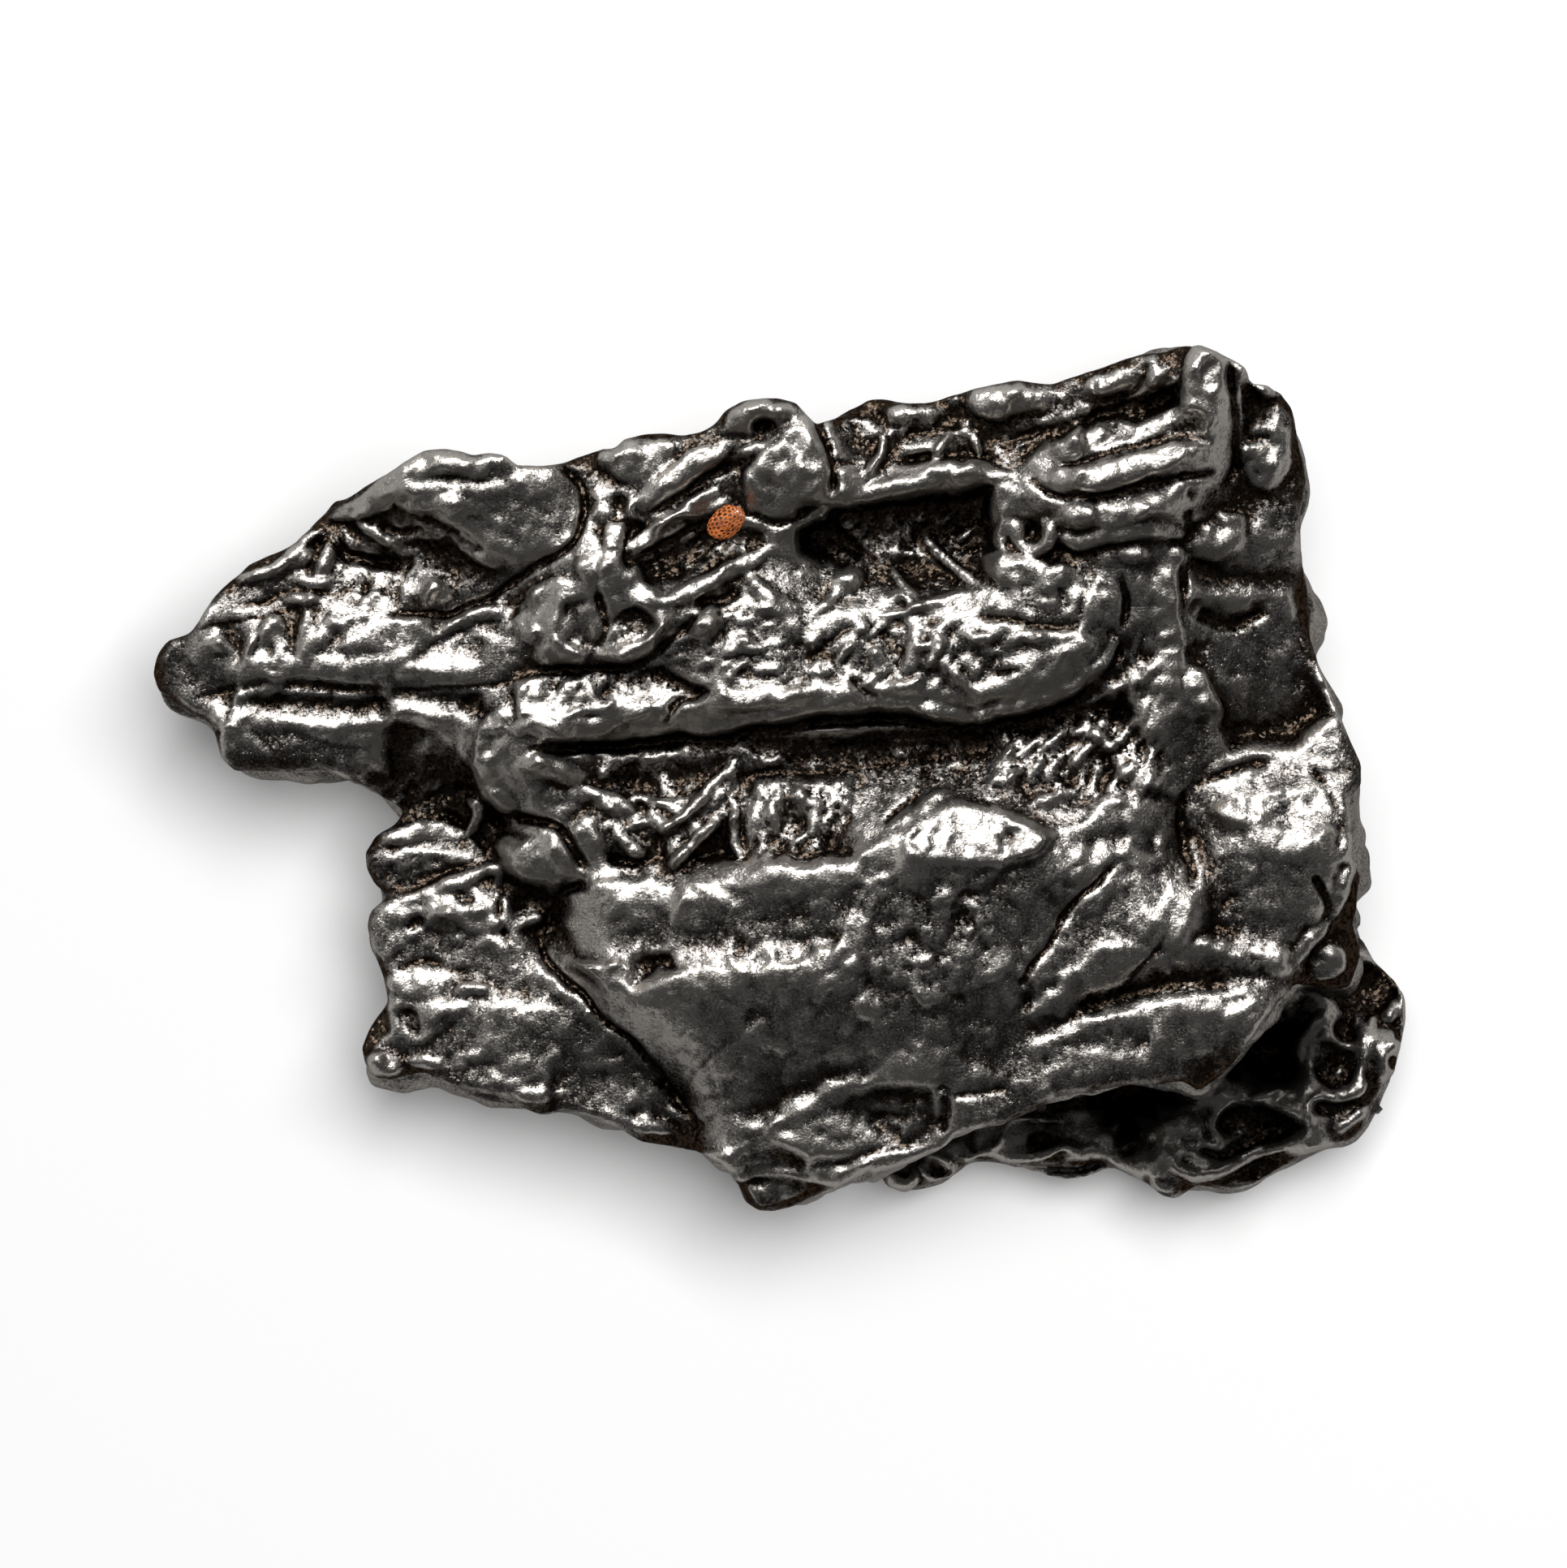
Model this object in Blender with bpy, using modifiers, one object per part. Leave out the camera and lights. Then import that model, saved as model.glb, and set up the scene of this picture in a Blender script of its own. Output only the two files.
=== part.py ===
"""Iron meteorite: one solid shard of nickel-iron with a sand grain lodged in a furrow.

Lengths are in millimetres until the last step, which scales each mesh to metres.
X runs along the shard, Y across it, Z up. The origin is on the resting plane, under
the middle of the shard's bounding box.
"""
import math

import bpy
import numpy as np
from mathutils import Matrix, Vector, noise
from mathutils.bvhtree import BVHTree

MM = 0.001

# Driving dimensions of the shard
LENGTH = 48.6
WIDTH = 33.2
HEIGHT = 16.6
RIM_ROUND = 0.8  # how far the rounding of the upper edge reaches in
BELLY_ROUND = 5.5  # the same for the underside
WAIST = 0.58  # where the widest line lies, from the belly (0) to the top (1)
GRAIN_SIZE = (1.6, 1.1, 0.5)  # length, width and thickness of the lodged sand grain
GRAIN_AT = (-2.15, 9.9)
GRAIN_TURN = math.radians(35)
GRAIN_GAP = 0.3  # clearance between the grain and the metal under it
FEET = [(13.0, 8.6), (12.6, -9.4), (-5.6, 2.6)]  # the three bumps that the shard rests on
FOOT_RADIUS = 1.3  # flat part of a foot
FOOT_FLARE = 2.6  # radius at which a foot has merged into the belly

# Mesh fineness
SCULPT_CELL = 0.36
SKIN_CELL = 0.34
SKIN_TRIANGLES = 9000
BELLY_CLEAR = 0.45  # least height of the belly between the feet
FOOT_DEPTH = 0.15  # how much of each foot is worn flat

# Plan outline of the upper slab, from the tip of the nose and round through the south
SLAB = [
    (-24.3, 4.4), (-24.2, 3.7), (-23.8, 3.2), (-22.9, 2.7), (-22.1, 2.3), (-21.9, 1.6), (-21.4, 0.8),
    (-20.8, 0.4), (-19.0, 0.4), (-17.4, 0.5), (-16.6, 0.0), (-15.2, -0.7), (-14.6, -1.0), (-14.9, -1.7),
    (-15.8, -2.0), (-16.2, -2.8), (-16.0, -3.7), (-15.3, -4.4), (-16.0, -5.0), (-16.1, -5.6),
    (-15.7, -6.7), (-15.2, -8.3), (-15.9, -9.4), (-16.3, -10.2), (-16.1, -11.0), (-15.5, -11.5),
    (-14.8, -11.5), (-13.7, -11.2), (-13.0, -11.8), (-11.8, -11.9), (-10.4, -12.2), (-9.5, -12.8),
    (-8.2, -12.7), (-6.8, -13.1), (-5.5, -13.9), (-3.2, -14.3), (-2.1, -15.0), (-1.7, -15.9),
    (-1.0, -16.5), (0.6, -16.3), (2.0, -15.7), (3.5, -15.1), (5.0, -14.5), (7.0, -13.5), (9.0, -12.8),
    (10.8, -12.0), (12.5, -11.7), (14.2, -11.5), (15.9, -11.9), (17.3, -10.7), (18.5, -9.0),
    (19.6, -7.7), (21.3, -8.0), (22.1, -7.3), (21.6, -6.4), (22.0, -5.4), (22.0, -4.8), (22.2, -3.7),
    (21.8, -2.6), (21.8, -0.8), (22.2, 0.2), (21.9, 1.5), (21.1, 3.2), (20.5, 4.6), (20.3, 6.4),
    (20.0, 8.2), (19.8, 10.0), (20.1, 11.6), (19.7, 13.4), (19.3, 14.7), (18.7, 15.1), (17.9, 15.1),
    (17.5, 15.8), (16.4, 16.4), (15.5, 16.6), (14.4, 16.4), (12.8, 16.1), (11.4, 15.5), (10.2, 15.2),
    (9.0, 15.3), (7.4, 15.0), (5.8, 14.5), (4.6, 14.5), (3.7, 14.7), (2.7, 14.3), (1.3, 13.6),
    (0.7, 14.3), (-0.4, 14.7), (-1.6, 14.4), (-2.6, 13.5), (-3.8, 13.2), (-5.0, 13.3), (-6.0, 13.2),
    (-6.6, 12.8), (-7.6, 12.5), (-8.6, 12.2), (-10.1, 12.0), (-10.9, 12.5), (-12.0, 12.5),
    (-13.1, 12.7), (-14.4, 12.2), (-15.8, 11.4), (-17.1, 10.8), (-18.0, 9.9), (-19.2, 8.8),
    (-20.6, 8.4), (-21.8, 7.2), (-22.4, 6.2), (-23.8, 5.4),
]

# Plan outline of the lower lobe, which shows past the slab's south-east edge
LOBE = [
    (3.4, -14.6), (3.9, -15.6), (4.8, -16.0), (6.1, -15.6), (7.2, -14.8), (9.4, -15.0), (11.4, -15.0),
    (12.4, -14.8), (13.6, -15.4), (14.5, -16.1), (15.4, -16.2), (16.2, -15.7), (17.6, -16.0),
    (19.0, -15.3), (20.6, -14.5), (22.1, -14.1), (22.8, -13.0), (23.2, -11.9), (23.9, -11.2),
    (24.1, -10.0), (24.3, -8.8), (23.8, -7.8), (22.9, -6.8), (22.3, -5.6), (20.5, -3.5), (15.0, -4.0),
    (9.0, -7.0), (5.0, -10.5),
]

# Heights of the slab's upper surface: x, y, z
SLAB_TOP = [
    (-23.4, 4.4, 9.6), (-20.5, 5.2, 11.2), (-17.5, 5.2, 11.8), (-14.5, 5.0, 12.2), (-20.5, 2.0, 10.4),
    (-17.0, 2.0, 10.8), (-13.5, 2.4, 11.4), (-19.5, 7.4, 10.6), (-17.0, 8.6, 10.6), (-15.0, 11.0, 12.4),
    (-12.5, 11.3, 13.6), (-9.6, 10.3, 13.4), (-13.8, 8.3, 11.2), (-11.0, 7.0, 12.0), (-15.5, 0.0, 7.6),
    (-13.5, -0.2, 8.2), (-15.2, -2.9, 8.6), (-13.0, -2.6, 8.8), (-14.8, -5.6, 9.0), (-12.2, -4.6, 9.6),
    (-14.2, -7.6, 9.4), (-15.4, -10.2, 8.6), (-12.4, -9.8, 9.8), (-9.9, -5.5, 9.6), (-10.0, -8.4, 10.4),
    (-8.6, -11.4, 9.8), (-5.8, -12.0, 10.2), (-4.6, -13.4, 9.4), (-11.0, 0.6, 11.8), (-9.6, -0.8, 11.4),
    (-10.4, 3.2, 12.2), (-9.2, -3.2, 11.6), (-7.4, -5.6, 12.0), (-7.0, 6.6, 13.4), (-7.6, 3.4, 12.4),
    (-5.5, 11.8, 12.8), (-1.0, 13.4, 12.8), (0.4, 11.8, 14.6), (-3.0, 9.8, 12.4), (-4.6, 6.4, 13.6),
    (-1.0, 5.6, 13.8), (-5.0, -2.0, 11.8), (-5.5, 0.4, 11.8), (-6.0, -8.2, 12.2), (-3.0, -8.8, 13.2),
    (-3.0, -4.6, 13.0), (-2.4, -11.6, 12.0), (-0.4, -15.2, 9.2), (0.6, -12.4, 12.0), (3.6, -13.4, 11.4),
    (0.6, -8.2, 13.6), (0.4, 0.4, 12.0), (0.8, -3.6, 13.8), (2.8, 5.0, 13.8), (2.4, 8.2, 12.4),
    (3.0, 13.6, 12.0), (3.4, -6.4, 14.2), (4.6, -9.6, 13.6), (5.4, 9.0, 11.6), (5.6, -2.6, 14.8),
    (5.2, 1.0, 12.0), (5.4, 11.6, 14.2), (6.4, 5.2, 14.0), (7.4, 13.6, 12.8), (8.6, -2.6, 14.8),
    (8.4, -6.6, 14.2), (8.0, -10.6, 12.8), (9.4, 0.8, 12.6), (9.8, 5.6, 14.2), (9.2, 8.4, 14.0),
    (11.6, 12.2, 15.2), (11.4, 15.0, 13.0), (11.6, -5.0, 14.0), (12.2, -9.6, 13.0), (12.0, 3.0, 13.4),
    (12.6, -1.2, 13.6), (13.4, 10.4, 15.2), (14.6, 12.6, 15.6), (16.0, 14.6, 15.6), (14.4, 15.8, 13.4),
    (14.4, 4.4, 13.8), (13.8, 7.4, 14.4), (15.6, 8.6, 13.6), (16.4, 11.4, 13.8), (17.2, 9.0, 13.4),
    (18.4, 13.4, 12.6), (18.6, 11.4, 12.2), (19.4, 9.6, 11.0), (16.4, 6.4, 11.2), (18.4, 7.2, 10.8),
    (18.6, 4.6, 11.4), (16.2, 4.0, 12.4), (17.2, 2.2, 11.8), (19.6, 2.6, 11.6), (20.2, 0.6, 12.2),
    (17.8, -0.8, 12.6), (15.8, -1.8, 12.2), (18.6, -2.6, 13.4), (15.6, -5.0, 13.8), (18.8, -5.4, 13.2),
    (21.0, -3.0, 12.2), (14.8, -8.8, 13.4), (17.6, -8.2, 12.8), (15.8, -11.0, 11.2), (20.8, -7.2, 9.2),
    (21.4, -5.2, 10.4),
]

# Heights of the lobe's upper surface
LOBE_TOP = [
    (4.8, -15.4, 4.8), (8.0, -14.4, 5.4), (10.4, -13.6, 5.0), (12.6, -14.0, 6.2), (12.0, -12.4, 3.6),
    (15.4, -12.2, 3.8), (15.6, -13.6, 7.0), (15.2, -15.6, 4.6), (17.4, -12.6, 7.2), (19.6, -13.0, 7.0),
    (18.4, -10.6, 4.0), (19.6, -9.2, 4.6), (20.6, -10.4, 7.0), (21.8, -11.2, 6.2), (22.6, -12.8, 6.0),
    (23.4, -9.4, 6.6), (21.6, -8.4, 4.0), (22.6, -7.2, 4.4), (18.0, -15.2, 4.4), (20.6, -14.0, 5.4),
    (16.0, -6.0, 6.0),
]

# Heights of the underside: the arm and the south-west block stand clear of the resting plane
BELLY = [
    (-23.0, 4.2, 6.6), (-19.5, 4.0, 5.4), (-15.0, 4.0, 4.2), (-14.0, 10.0, 4.8), (-10.0, 9.0, 3.2),
    (-14.5, -4.0, 4.6), (-14.8, -9.8, 4.8), (-10.0, -8.0, 3.8), (-6.0, -12.0, 4.0), (-9.0, 0.0, 2.0),
    (-4.0, 9.0, 0.7), (-4.6, 3.0, 0.3), (-3.0, -6.0, 1.6), (0.0, -13.0, 3.2), (2.0, 12.0, 1.6),
    (3.0, 2.0, 0.8), (6.0, -6.0, 0.9), (8.0, 10.0, 1.0), (9.0, 0.0, 0.6), (13.0, 8.5, 0.0),
    (15.0, 14.0, 2.6), (18.0, 10.0, 2.4), (16.0, 2.0, 1.2), (19.0, -1.0, 1.8), (13.0, -10.5, 0.0),
    (19.0, -9.0, 0.9), (22.0, -11.0, 1.8), (6.0, -13.0, 1.2), (-6.5, 6.0, 0.6),
]

# Ridges (+) and furrows (-) of the upper surface: height, half width, then the line they follow
RIDGES = [
    (-1.4, 0.55, [(-9.6, 4.15), (-6.4, 4.1), (-4.4, 4.7)]),
    (-1.6, 0.65, [(-7.4, 0.95), (-4.0, 1.2), (0.5, 1.5), (4.0, 2.0), (8.0, 2.2), (11.0, 3.2), (12.8, 5.2)]),
    (0.9, 0.8, [(-11.2, 1.0), (-9.2, 1.9), (-6.4, 2.4), (-3.0, 2.6), (0.5, 2.9), (4.6, 3.3), (8.2, 3.3), (11.6, 4.4)]),
    (-1.3, 0.45, [(-7.6, 11.9), (-7.7, 10.2), (-8.5, 8.7), (-10.2, 7.3), (-12.6, 6.6), (-14.8, 6.4)]),
    (-1.0, 0.3, [(-13.3, 6.2), (-13.4, 5.5), (-14.6, 4.8), (-15.2, 3.6), (-15.2, 2.6), (-14.9, 1.4)]),
    (-0.7, 0.45, [(-22.4, 3.1), (-18.5, 3.5), (-15.2, 3.5), (-11.5, 3.7)]),
    (-1.5, 0.6, [(-17.4, 9.8), (-16.2, 9.6), (-15.0, 9.3), (-13.6, 9.2), (-12.0, 9.0)]),
    (-0.9, 0.5, [(-20.6, 6.8), (-19.6, 6.8), (-18.4, 6.6)]),
    (-2.2, 0.7, [(-12.6, -0.6), (-11.6, -0.6), (-11.0, -1.6), (-10.6, -3.4), (-9.2, -4.3), (-8.2, -4.1)]),
    (-2.0, 0.45, [(-9.4, -4.8), (-9.2, -6.0), (-8.6, -7.6), (-7.4, -8.6), (-6.4, -9.7), (-5.2, -10.4), (-4.2, -12.0),
                  (-3.3, -13.3)]),
    (1.2, 0.9, [(-9.8, -3.2), (-8.6, -3.2)]),
    (-1.3, 1.2, [(1.4, 9.7), (3.6, 9.6), (6.0, 9.6), (7.4, 9.4)]),
    (0.9, 0.7, [(2.0, 11.0), (4.6, 11.3), (7.0, 11.7), (8.9, 11.5)]),
    (0.8, 0.8, [(-2.6, 13.2), (-4.4, 11.9), (-5.4, 10.9)]),
    (0.7, 0.5, [(-1.6, 10.6), (-3.8, 9.9), (-5.8, 8.8)]),
    (1.1, 0.8, [(-7.0, 10.0), (-6.5, 8.6), (-7.2, 7.9)]),
    (1.0, 1.0, [(-1.4, 13.9), (0.0, 13.9), (1.0, 12.6)]),
    (-0.9, 0.45, [(2.0, 12.9), (3.2, 12.6)]),
    (-1.0, 0.5, [(4.6, 12.8), (7.4, 12.9), (9.4, 13.1), (12.0, 13.6), (14.4, 14.4)]),
    (0.9, 0.9, [(7.4, 14.5), (9.6, 14.6)]),
    (0.9, 0.8, [(11.8, 15.2), (13.4, 15.6)]),
    (0.8, 0.9, [(16.0, 15.4), (16.1, 14.2)]),
    (0.7, 0.8, [(10.6, 11.7), (13.2, 12.3), (15.8, 12.6)]),
    (-0.7, 0.4, [(10.6, 11.0), (13.0, 11.3), (15.2, 11.7)]),
    (0.6, 0.7, [(10.8, 10.1), (12.6, 10.1), (15.0, 10.4)]),
    (-1.2, 0.6, [(9.6, 10.6), (9.6, 9.2), (10.8, 9.0), (13.2, 9.2), (15.2, 9.2)]),
    (-1.4, 0.6, [(17.2, 15.2), (17.2, 13.0), (17.3, 11.2), (16.2, 10.2), (15.4, 8.4)]),
    (-1.2, 1.2, [(16.0, 7.0), (17.6, 6.8), (19.2, 7.2)]),
    (-0.9, 0.5, [(12.9, 7.6), (13.1, 6.0), (12.7, 4.6)]),
    (-0.9, 0.6, [(15.3, 0.6), (15.3, -1.2), (15.5, -3.2)]),
    (0.8, 0.7, [(-8.0, -4.5), (-5.2, -3.7), (-2.2, -3.5), (1.4, -3.0), (4.4, -2.0), (6.2, -0.9)]),
    (-1.2, 0.8, [(-5.2, -2.6), (-3.8, -2.6), (-2.4, -2.6)]),
    (0.9, 0.7, [(-7.6, -7.2), (-4.6, -7.2), (-1.6, -7.0), (1.6, -6.3)]),
    (-0.6, 0.5, [(-7.2, -6.4), (-3.6, -6.1), (0.6, -5.5)]),
    (-0.6, 0.6, [(7.0, -4.6), (9.2, -3.2), (10.6, -5.4), (9.0, -7.4)]),
    (0.7, 0.7, [(9.8, -9.9), (12.2, -9.0), (14.8, -8.6), (18.6, -7.6)]),
    (-0.8, 0.6, [(9.4, -9.2), (12.0, -8.1), (14.4, -7.4), (18.6, -6.9)]),
    (0.8, 0.8, [(-1.0, -13.3), (1.0, -12.6), (3.0, -11.9), (4.6, -11.4)]),
    (-0.7, 0.6, [(-1.6, -12.6), (1.0, -11.8), (3.2, -11.1)]),
    (0.7, 0.8, [(16.4, -0.9), (18.6, -0.9), (20.6, -0.3)]),
    (-0.7, 0.6, [(18.2, 0.4), (20.6, 0.4)]),
]

# Pits with raised rims on the lobe: x, y, radius, depth
LOBE_PITS = [
    (13.6, -12.6, 1.6, 1.6), (18.0, -13.4, 1.5, 1.4), (19.0, -10.2, 1.4, 1.6), (21.5, -11.0, 1.3, 1.0),
    (21.3, -12.6, 0.9, 0.7), (23.2, -11.0, 0.6, 0.7), (22.4, -8.6, 1.2, 1.4), (10.0, -14.0, 1.0, 0.8),
    (7.0, -14.2, 0.9, 0.8),
]


def clear_scene():
    for thing in list(bpy.data.objects):
        bpy.data.objects.remove(thing)


def plate(name, outline, low, high, collection):
    """A flat plate with the given plan outline, from z low to z high, as a mesh object."""
    curve = bpy.data.curves.new(name, "CURVE")
    curve.dimensions = "2D"
    curve.fill_mode = "BOTH"
    curve.extrude = (high - low) / 2
    spline = curve.splines.new("POLY")
    spline.points.add(len(outline) - 1)
    for point, (x, y) in zip(spline.points, outline):
        point.co = (x, y, 0, 1)
    spline.use_cyclic_u = True
    drawn = bpy.data.objects.new(name + "_curve", curve)
    collection.objects.link(drawn)
    bpy.context.view_layer.update()
    graph = bpy.context.evaluated_depsgraph_get()
    mesh = bpy.data.meshes.new_from_object(drawn.evaluated_get(graph))
    bpy.data.objects.remove(drawn)
    mesh.transform(Matrix.Translation((0, 0, (low + high) / 2)))
    made = bpy.data.objects.new(name, mesh)
    collection.objects.link(made)
    return made


def voxel_skin(thing, cell):
    """Replaces the object's mesh with an even skin of about one cell's spacing."""
    remesh = thing.modifiers.new("skin", "REMESH")
    remesh.mode = "VOXEL"
    remesh.voxel_size = cell
    bpy.context.view_layer.update()
    graph = bpy.context.evaluated_depsgraph_get()
    mesh = bpy.data.meshes.new_from_object(thing.evaluated_get(graph))
    thing.modifiers.clear()
    thing.data = mesh


def points_of(mesh):
    flat = np.empty(len(mesh.vertices) * 3)
    mesh.vertices.foreach_get("co", flat)
    return flat.reshape(-1, 3)


def set_points(mesh, points):
    mesh.vertices.foreach_set("co", points.astype(np.float32).ravel())
    mesh.update()


def reach(xy, line, closed=False):
    """Distance in plan from each point to a line of points."""
    corners = np.array(line, float)
    ends = np.roll(corners, -1, axis=0) if closed else corners[1:]
    best = np.full(len(xy), np.inf)
    for start, end in zip(corners, ends):
        along = end - start
        share = np.clip(((xy - start) @ along) / (along @ along), 0, 1)
        gap = xy - start - share[:, None] * along
        best = np.minimum(best, (gap * gap).sum(axis=1))
    return np.sqrt(best)


def height_field(xy, spots, spread=1.7):
    """Smooth surface through scattered heights, each spot counting less with distance."""
    spots = np.array(spots, float)
    gap = ((xy[:, None, :] - spots[None, :, :2]) ** 2).sum(axis=2)
    nearest = gap.min(axis=1, keepdims=True)
    weight = np.exp(-(gap - nearest) / (2 * spread * spread)) / (gap + 1.0)
    return (weight * spots[None, :, 2]).sum(axis=1) / weight.sum(axis=1)


def dome(depth, radius):
    """0 on the outline, rising like a quarter circle to 1 at the radius."""
    rise = np.clip(depth / radius, 0, 1)
    return np.sqrt(1 - (1 - rise) ** 2)


def shape_plate(thing, outline, top_spots, rim_round):
    """Turns a flat plate from z -1 to 1 into a stone with a domed rim and a round belly."""
    points = points_of(thing.data)
    xy = points[:, :2]
    depth = reach(xy, outline, closed=True)
    top = height_field(xy, top_spots)
    belly = height_field(xy, BELLY, spread=2.4)
    waist = belly + WAIST * (top - belly)
    upper = waist + (top - waist) * dome(depth, rim_round)
    lower = waist + (belly - waist) * dome(depth, BELLY_ROUND)
    share = (points[:, 2].clip(-1, 1) + 1) / 2
    points[:, 2] = lower + (upper - lower) * share
    set_points(thing.data, points)


def joined(first, second):
    """Both stones in one object, for the skin that makes them one."""
    mesh = first.data
    offset = len(mesh.vertices)
    verts = [tuple(v.co) for v in mesh.vertices] + [tuple(v.co) for v in second.data.vertices]
    faces = [tuple(p.vertices) for p in mesh.polygons]
    faces += [tuple(i + offset for i in p.vertices) for p in second.data.polygons]
    both = bpy.data.meshes.new("both")
    both.from_pydata(verts, [], faces)
    first.data = both
    bpy.data.objects.remove(second)
    return first


def facing_up(mesh, low=0.0, high=0.5):
    """0 on the underside and the walls, 1 on the upper surface."""
    normals = np.empty(len(mesh.vertices) * 3)
    mesh.vertex_normals.foreach_get("vector", normals)
    lean = normals.reshape(-1, 3)[:, 2]
    return np.clip((lean - low) / (high - low), 0, 1)


def carve_relief(thing):
    """Raises the ridges, cuts the furrows and sinks the lobe's pits."""
    points = points_of(thing.data)
    xy = points[:, :2]
    up = facing_up(thing.data)
    lift = np.zeros(len(points))
    for height, half_width, line in RIDGES:
        lift += height * np.exp(-((reach(xy, line) / half_width) ** 2))
    on_lobe = (points[:, 2] < 8.5).astype(float)
    for x, y, radius, depth in LOBE_PITS:
        out = np.hypot(xy[:, 0] - x, xy[:, 1] - y) / radius
        bowl = -depth * np.exp(-(out / 0.75) ** 4)
        rim = 0.45 * depth * np.exp(-(((out - 1.15) / 0.25) ** 2))
        lift += (bowl + rim) * on_lobe
    points[:, 2] += lift * up
    set_points(thing.data, points)


def foot_share(xy):
    """1 on the flat of a foot, falling to 0 where the foot has merged into the belly."""
    gap = np.min([np.hypot(xy[:, 0] - x, xy[:, 1] - y) for x, y in FEET], axis=0)
    share = np.clip((FOOT_FLARE - gap) / (FOOT_FLARE - FOOT_RADIUS), 0, 1)
    return share * share * (3 - 2 * share)


def stand_on_feet(thing):
    """Keeps the belly clear of the resting plane and brings the feet down to it."""
    points = points_of(thing.data)
    below = 1 - facing_up(thing.data, -0.6, -0.1)
    foot = foot_share(points[:, :2]) * below
    height = np.maximum(points[:, 2], BELLY_CLEAR)
    points[:, 2] = height + (-FOOT_DEPTH - height) * foot
    set_points(thing.data, points)


def roughen(thing, size, amount):
    """Uneven swells all over the walls and the underside, where no ridge is laid by hand."""
    mesh = thing.data
    points = points_of(mesh)
    normals = np.empty(len(points) * 3)
    mesh.vertex_normals.foreach_get("vector", normals)
    normals = normals.reshape(-1, 3)
    hidden = 1 - facing_up(mesh, 0.1, 0.7)
    swell = np.array([noise.noise(Vector(p) / size) for p in points])
    points += normals * (swell * amount * hidden)[:, None]
    set_points(mesh, points)


def stone(collection):
    slab = plate("iron_shard", SLAB, -1.0, 1.0, collection)
    lobe = plate("lobe", LOBE, -1.0, 1.0, collection)
    for thing, outline, spots in ((slab, SLAB, SLAB_TOP), (lobe, LOBE, LOBE_TOP)):
        voxel_skin(thing, SCULPT_CELL)
        shape_plate(thing, outline, spots, RIM_ROUND)
    joined(slab, lobe)
    voxel_skin(slab, SCULPT_CELL)
    carve_relief(slab)
    roughen(slab, 3.2, 0.9)
    stand_on_feet(slab)
    voxel_skin(slab, SKIN_CELL)
    coarsen(slab, SKIN_TRIANGLES)
    return slab


def settle(thing):
    """Fits the shard to its driving dimensions and wears its feet flat on z = 0."""
    points = points_of(thing.data)
    low, high = points.min(axis=0), points.max(axis=0)
    size = np.array([LENGTH, WIDTH, HEIGHT + FOOT_DEPTH])
    points = (points - (low + high) / 2) * size / (high - low)
    points[:, 2] += size[2] / 2 - FOOT_DEPTH
    points[:, 2] = points[:, 2].clip(min=0)
    set_points(thing.data, points)


def sand_grain(collection, shard):
    """The grain, a flattened lump lying just clear of the metal in its furrow."""
    bpy.ops.mesh.primitive_ico_sphere_add(subdivisions=3, radius=0.5)
    grain = bpy.context.object
    grain.name = "sand_grain"
    for owner in list(grain.users_collection):
        owner.objects.unlink(grain)
    collection.objects.link(grain)
    points = points_of(grain.data)
    lumps = np.array([noise.noise(Vector(p) * 2.2) for p in points])
    points *= (1 + 0.22 * lumps)[:, None] * np.array(GRAIN_SIZE)
    set_points(grain.data, points)
    grain.data.transform(Matrix.Rotation(GRAIN_TURN, 4, "Z"))
    grain.data.transform(Matrix.Translation((*GRAIN_AT, rest_height(shard, grain) + GRAIN_GAP)))
    return grain


def rest_height(shard, grain):
    """How far up the grain has to go for all of it to clear the shard's upper surface."""
    skin = BVHTree.FromPolygons([v.co for v in shard.data.vertices],
                                [tuple(face.vertices) for face in shard.data.polygons])
    lift = 0.0
    for vertex in grain.data.vertices:
        above = Vector((GRAIN_AT[0] + vertex.co.x, GRAIN_AT[1] + vertex.co.y, 2 * HEIGHT))
        hit = skin.ray_cast(above, Vector((0, 0, -1)))[0]
        lift = max(lift, hit.z - vertex.co.z)
    return lift


def finish(thing, name, colour, metallic, roughness):
    """Gives the object its material and takes its mesh from millimetres to metres."""
    material = bpy.data.materials.new(name)
    material.use_nodes = True
    surface = material.node_tree.nodes["Principled BSDF"]
    surface.inputs["Base Color"].default_value = (*colour, 1)
    surface.inputs["Metallic"].default_value = metallic
    surface.inputs["Roughness"].default_value = roughness
    thing.data.materials.clear()
    thing.data.materials.append(material)
    thing.data.transform(Matrix.Scale(MM, 4))
    thing.data.shade_smooth()


def coarsen(thing, triangles):
    """Cuts the skin down to about the given number of triangles."""
    before = sum(len(face.vertices) - 2 for face in thing.data.polygons)
    decimate = thing.modifiers.new("coarsen", "DECIMATE")
    decimate.ratio = triangles / before
    bpy.context.view_layer.update()
    graph = bpy.context.evaluated_depsgraph_get()
    mesh = bpy.data.meshes.new_from_object(thing.evaluated_get(graph))
    thing.modifiers.clear()
    thing.data = mesh


def main():
    clear_scene()
    collection = bpy.data.collections.new("meteorite")
    bpy.context.scene.collection.children.link(collection)
    shard = stone(collection)
    settle(shard)
    grain = sand_grain(collection, shard)
    finish(shard, "weathered_iron", (0.13, 0.125, 0.12), 1.0, 0.38)
    finish(grain, "ochre_sand", (0.42, 0.12, 0.02), 0.0, 0.9)


main()
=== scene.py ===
import math

import bmesh
import bpy
import numpy as np
from mathutils import Matrix, Vector, noise
from mathutils.bvhtree import BVHTree


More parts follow.
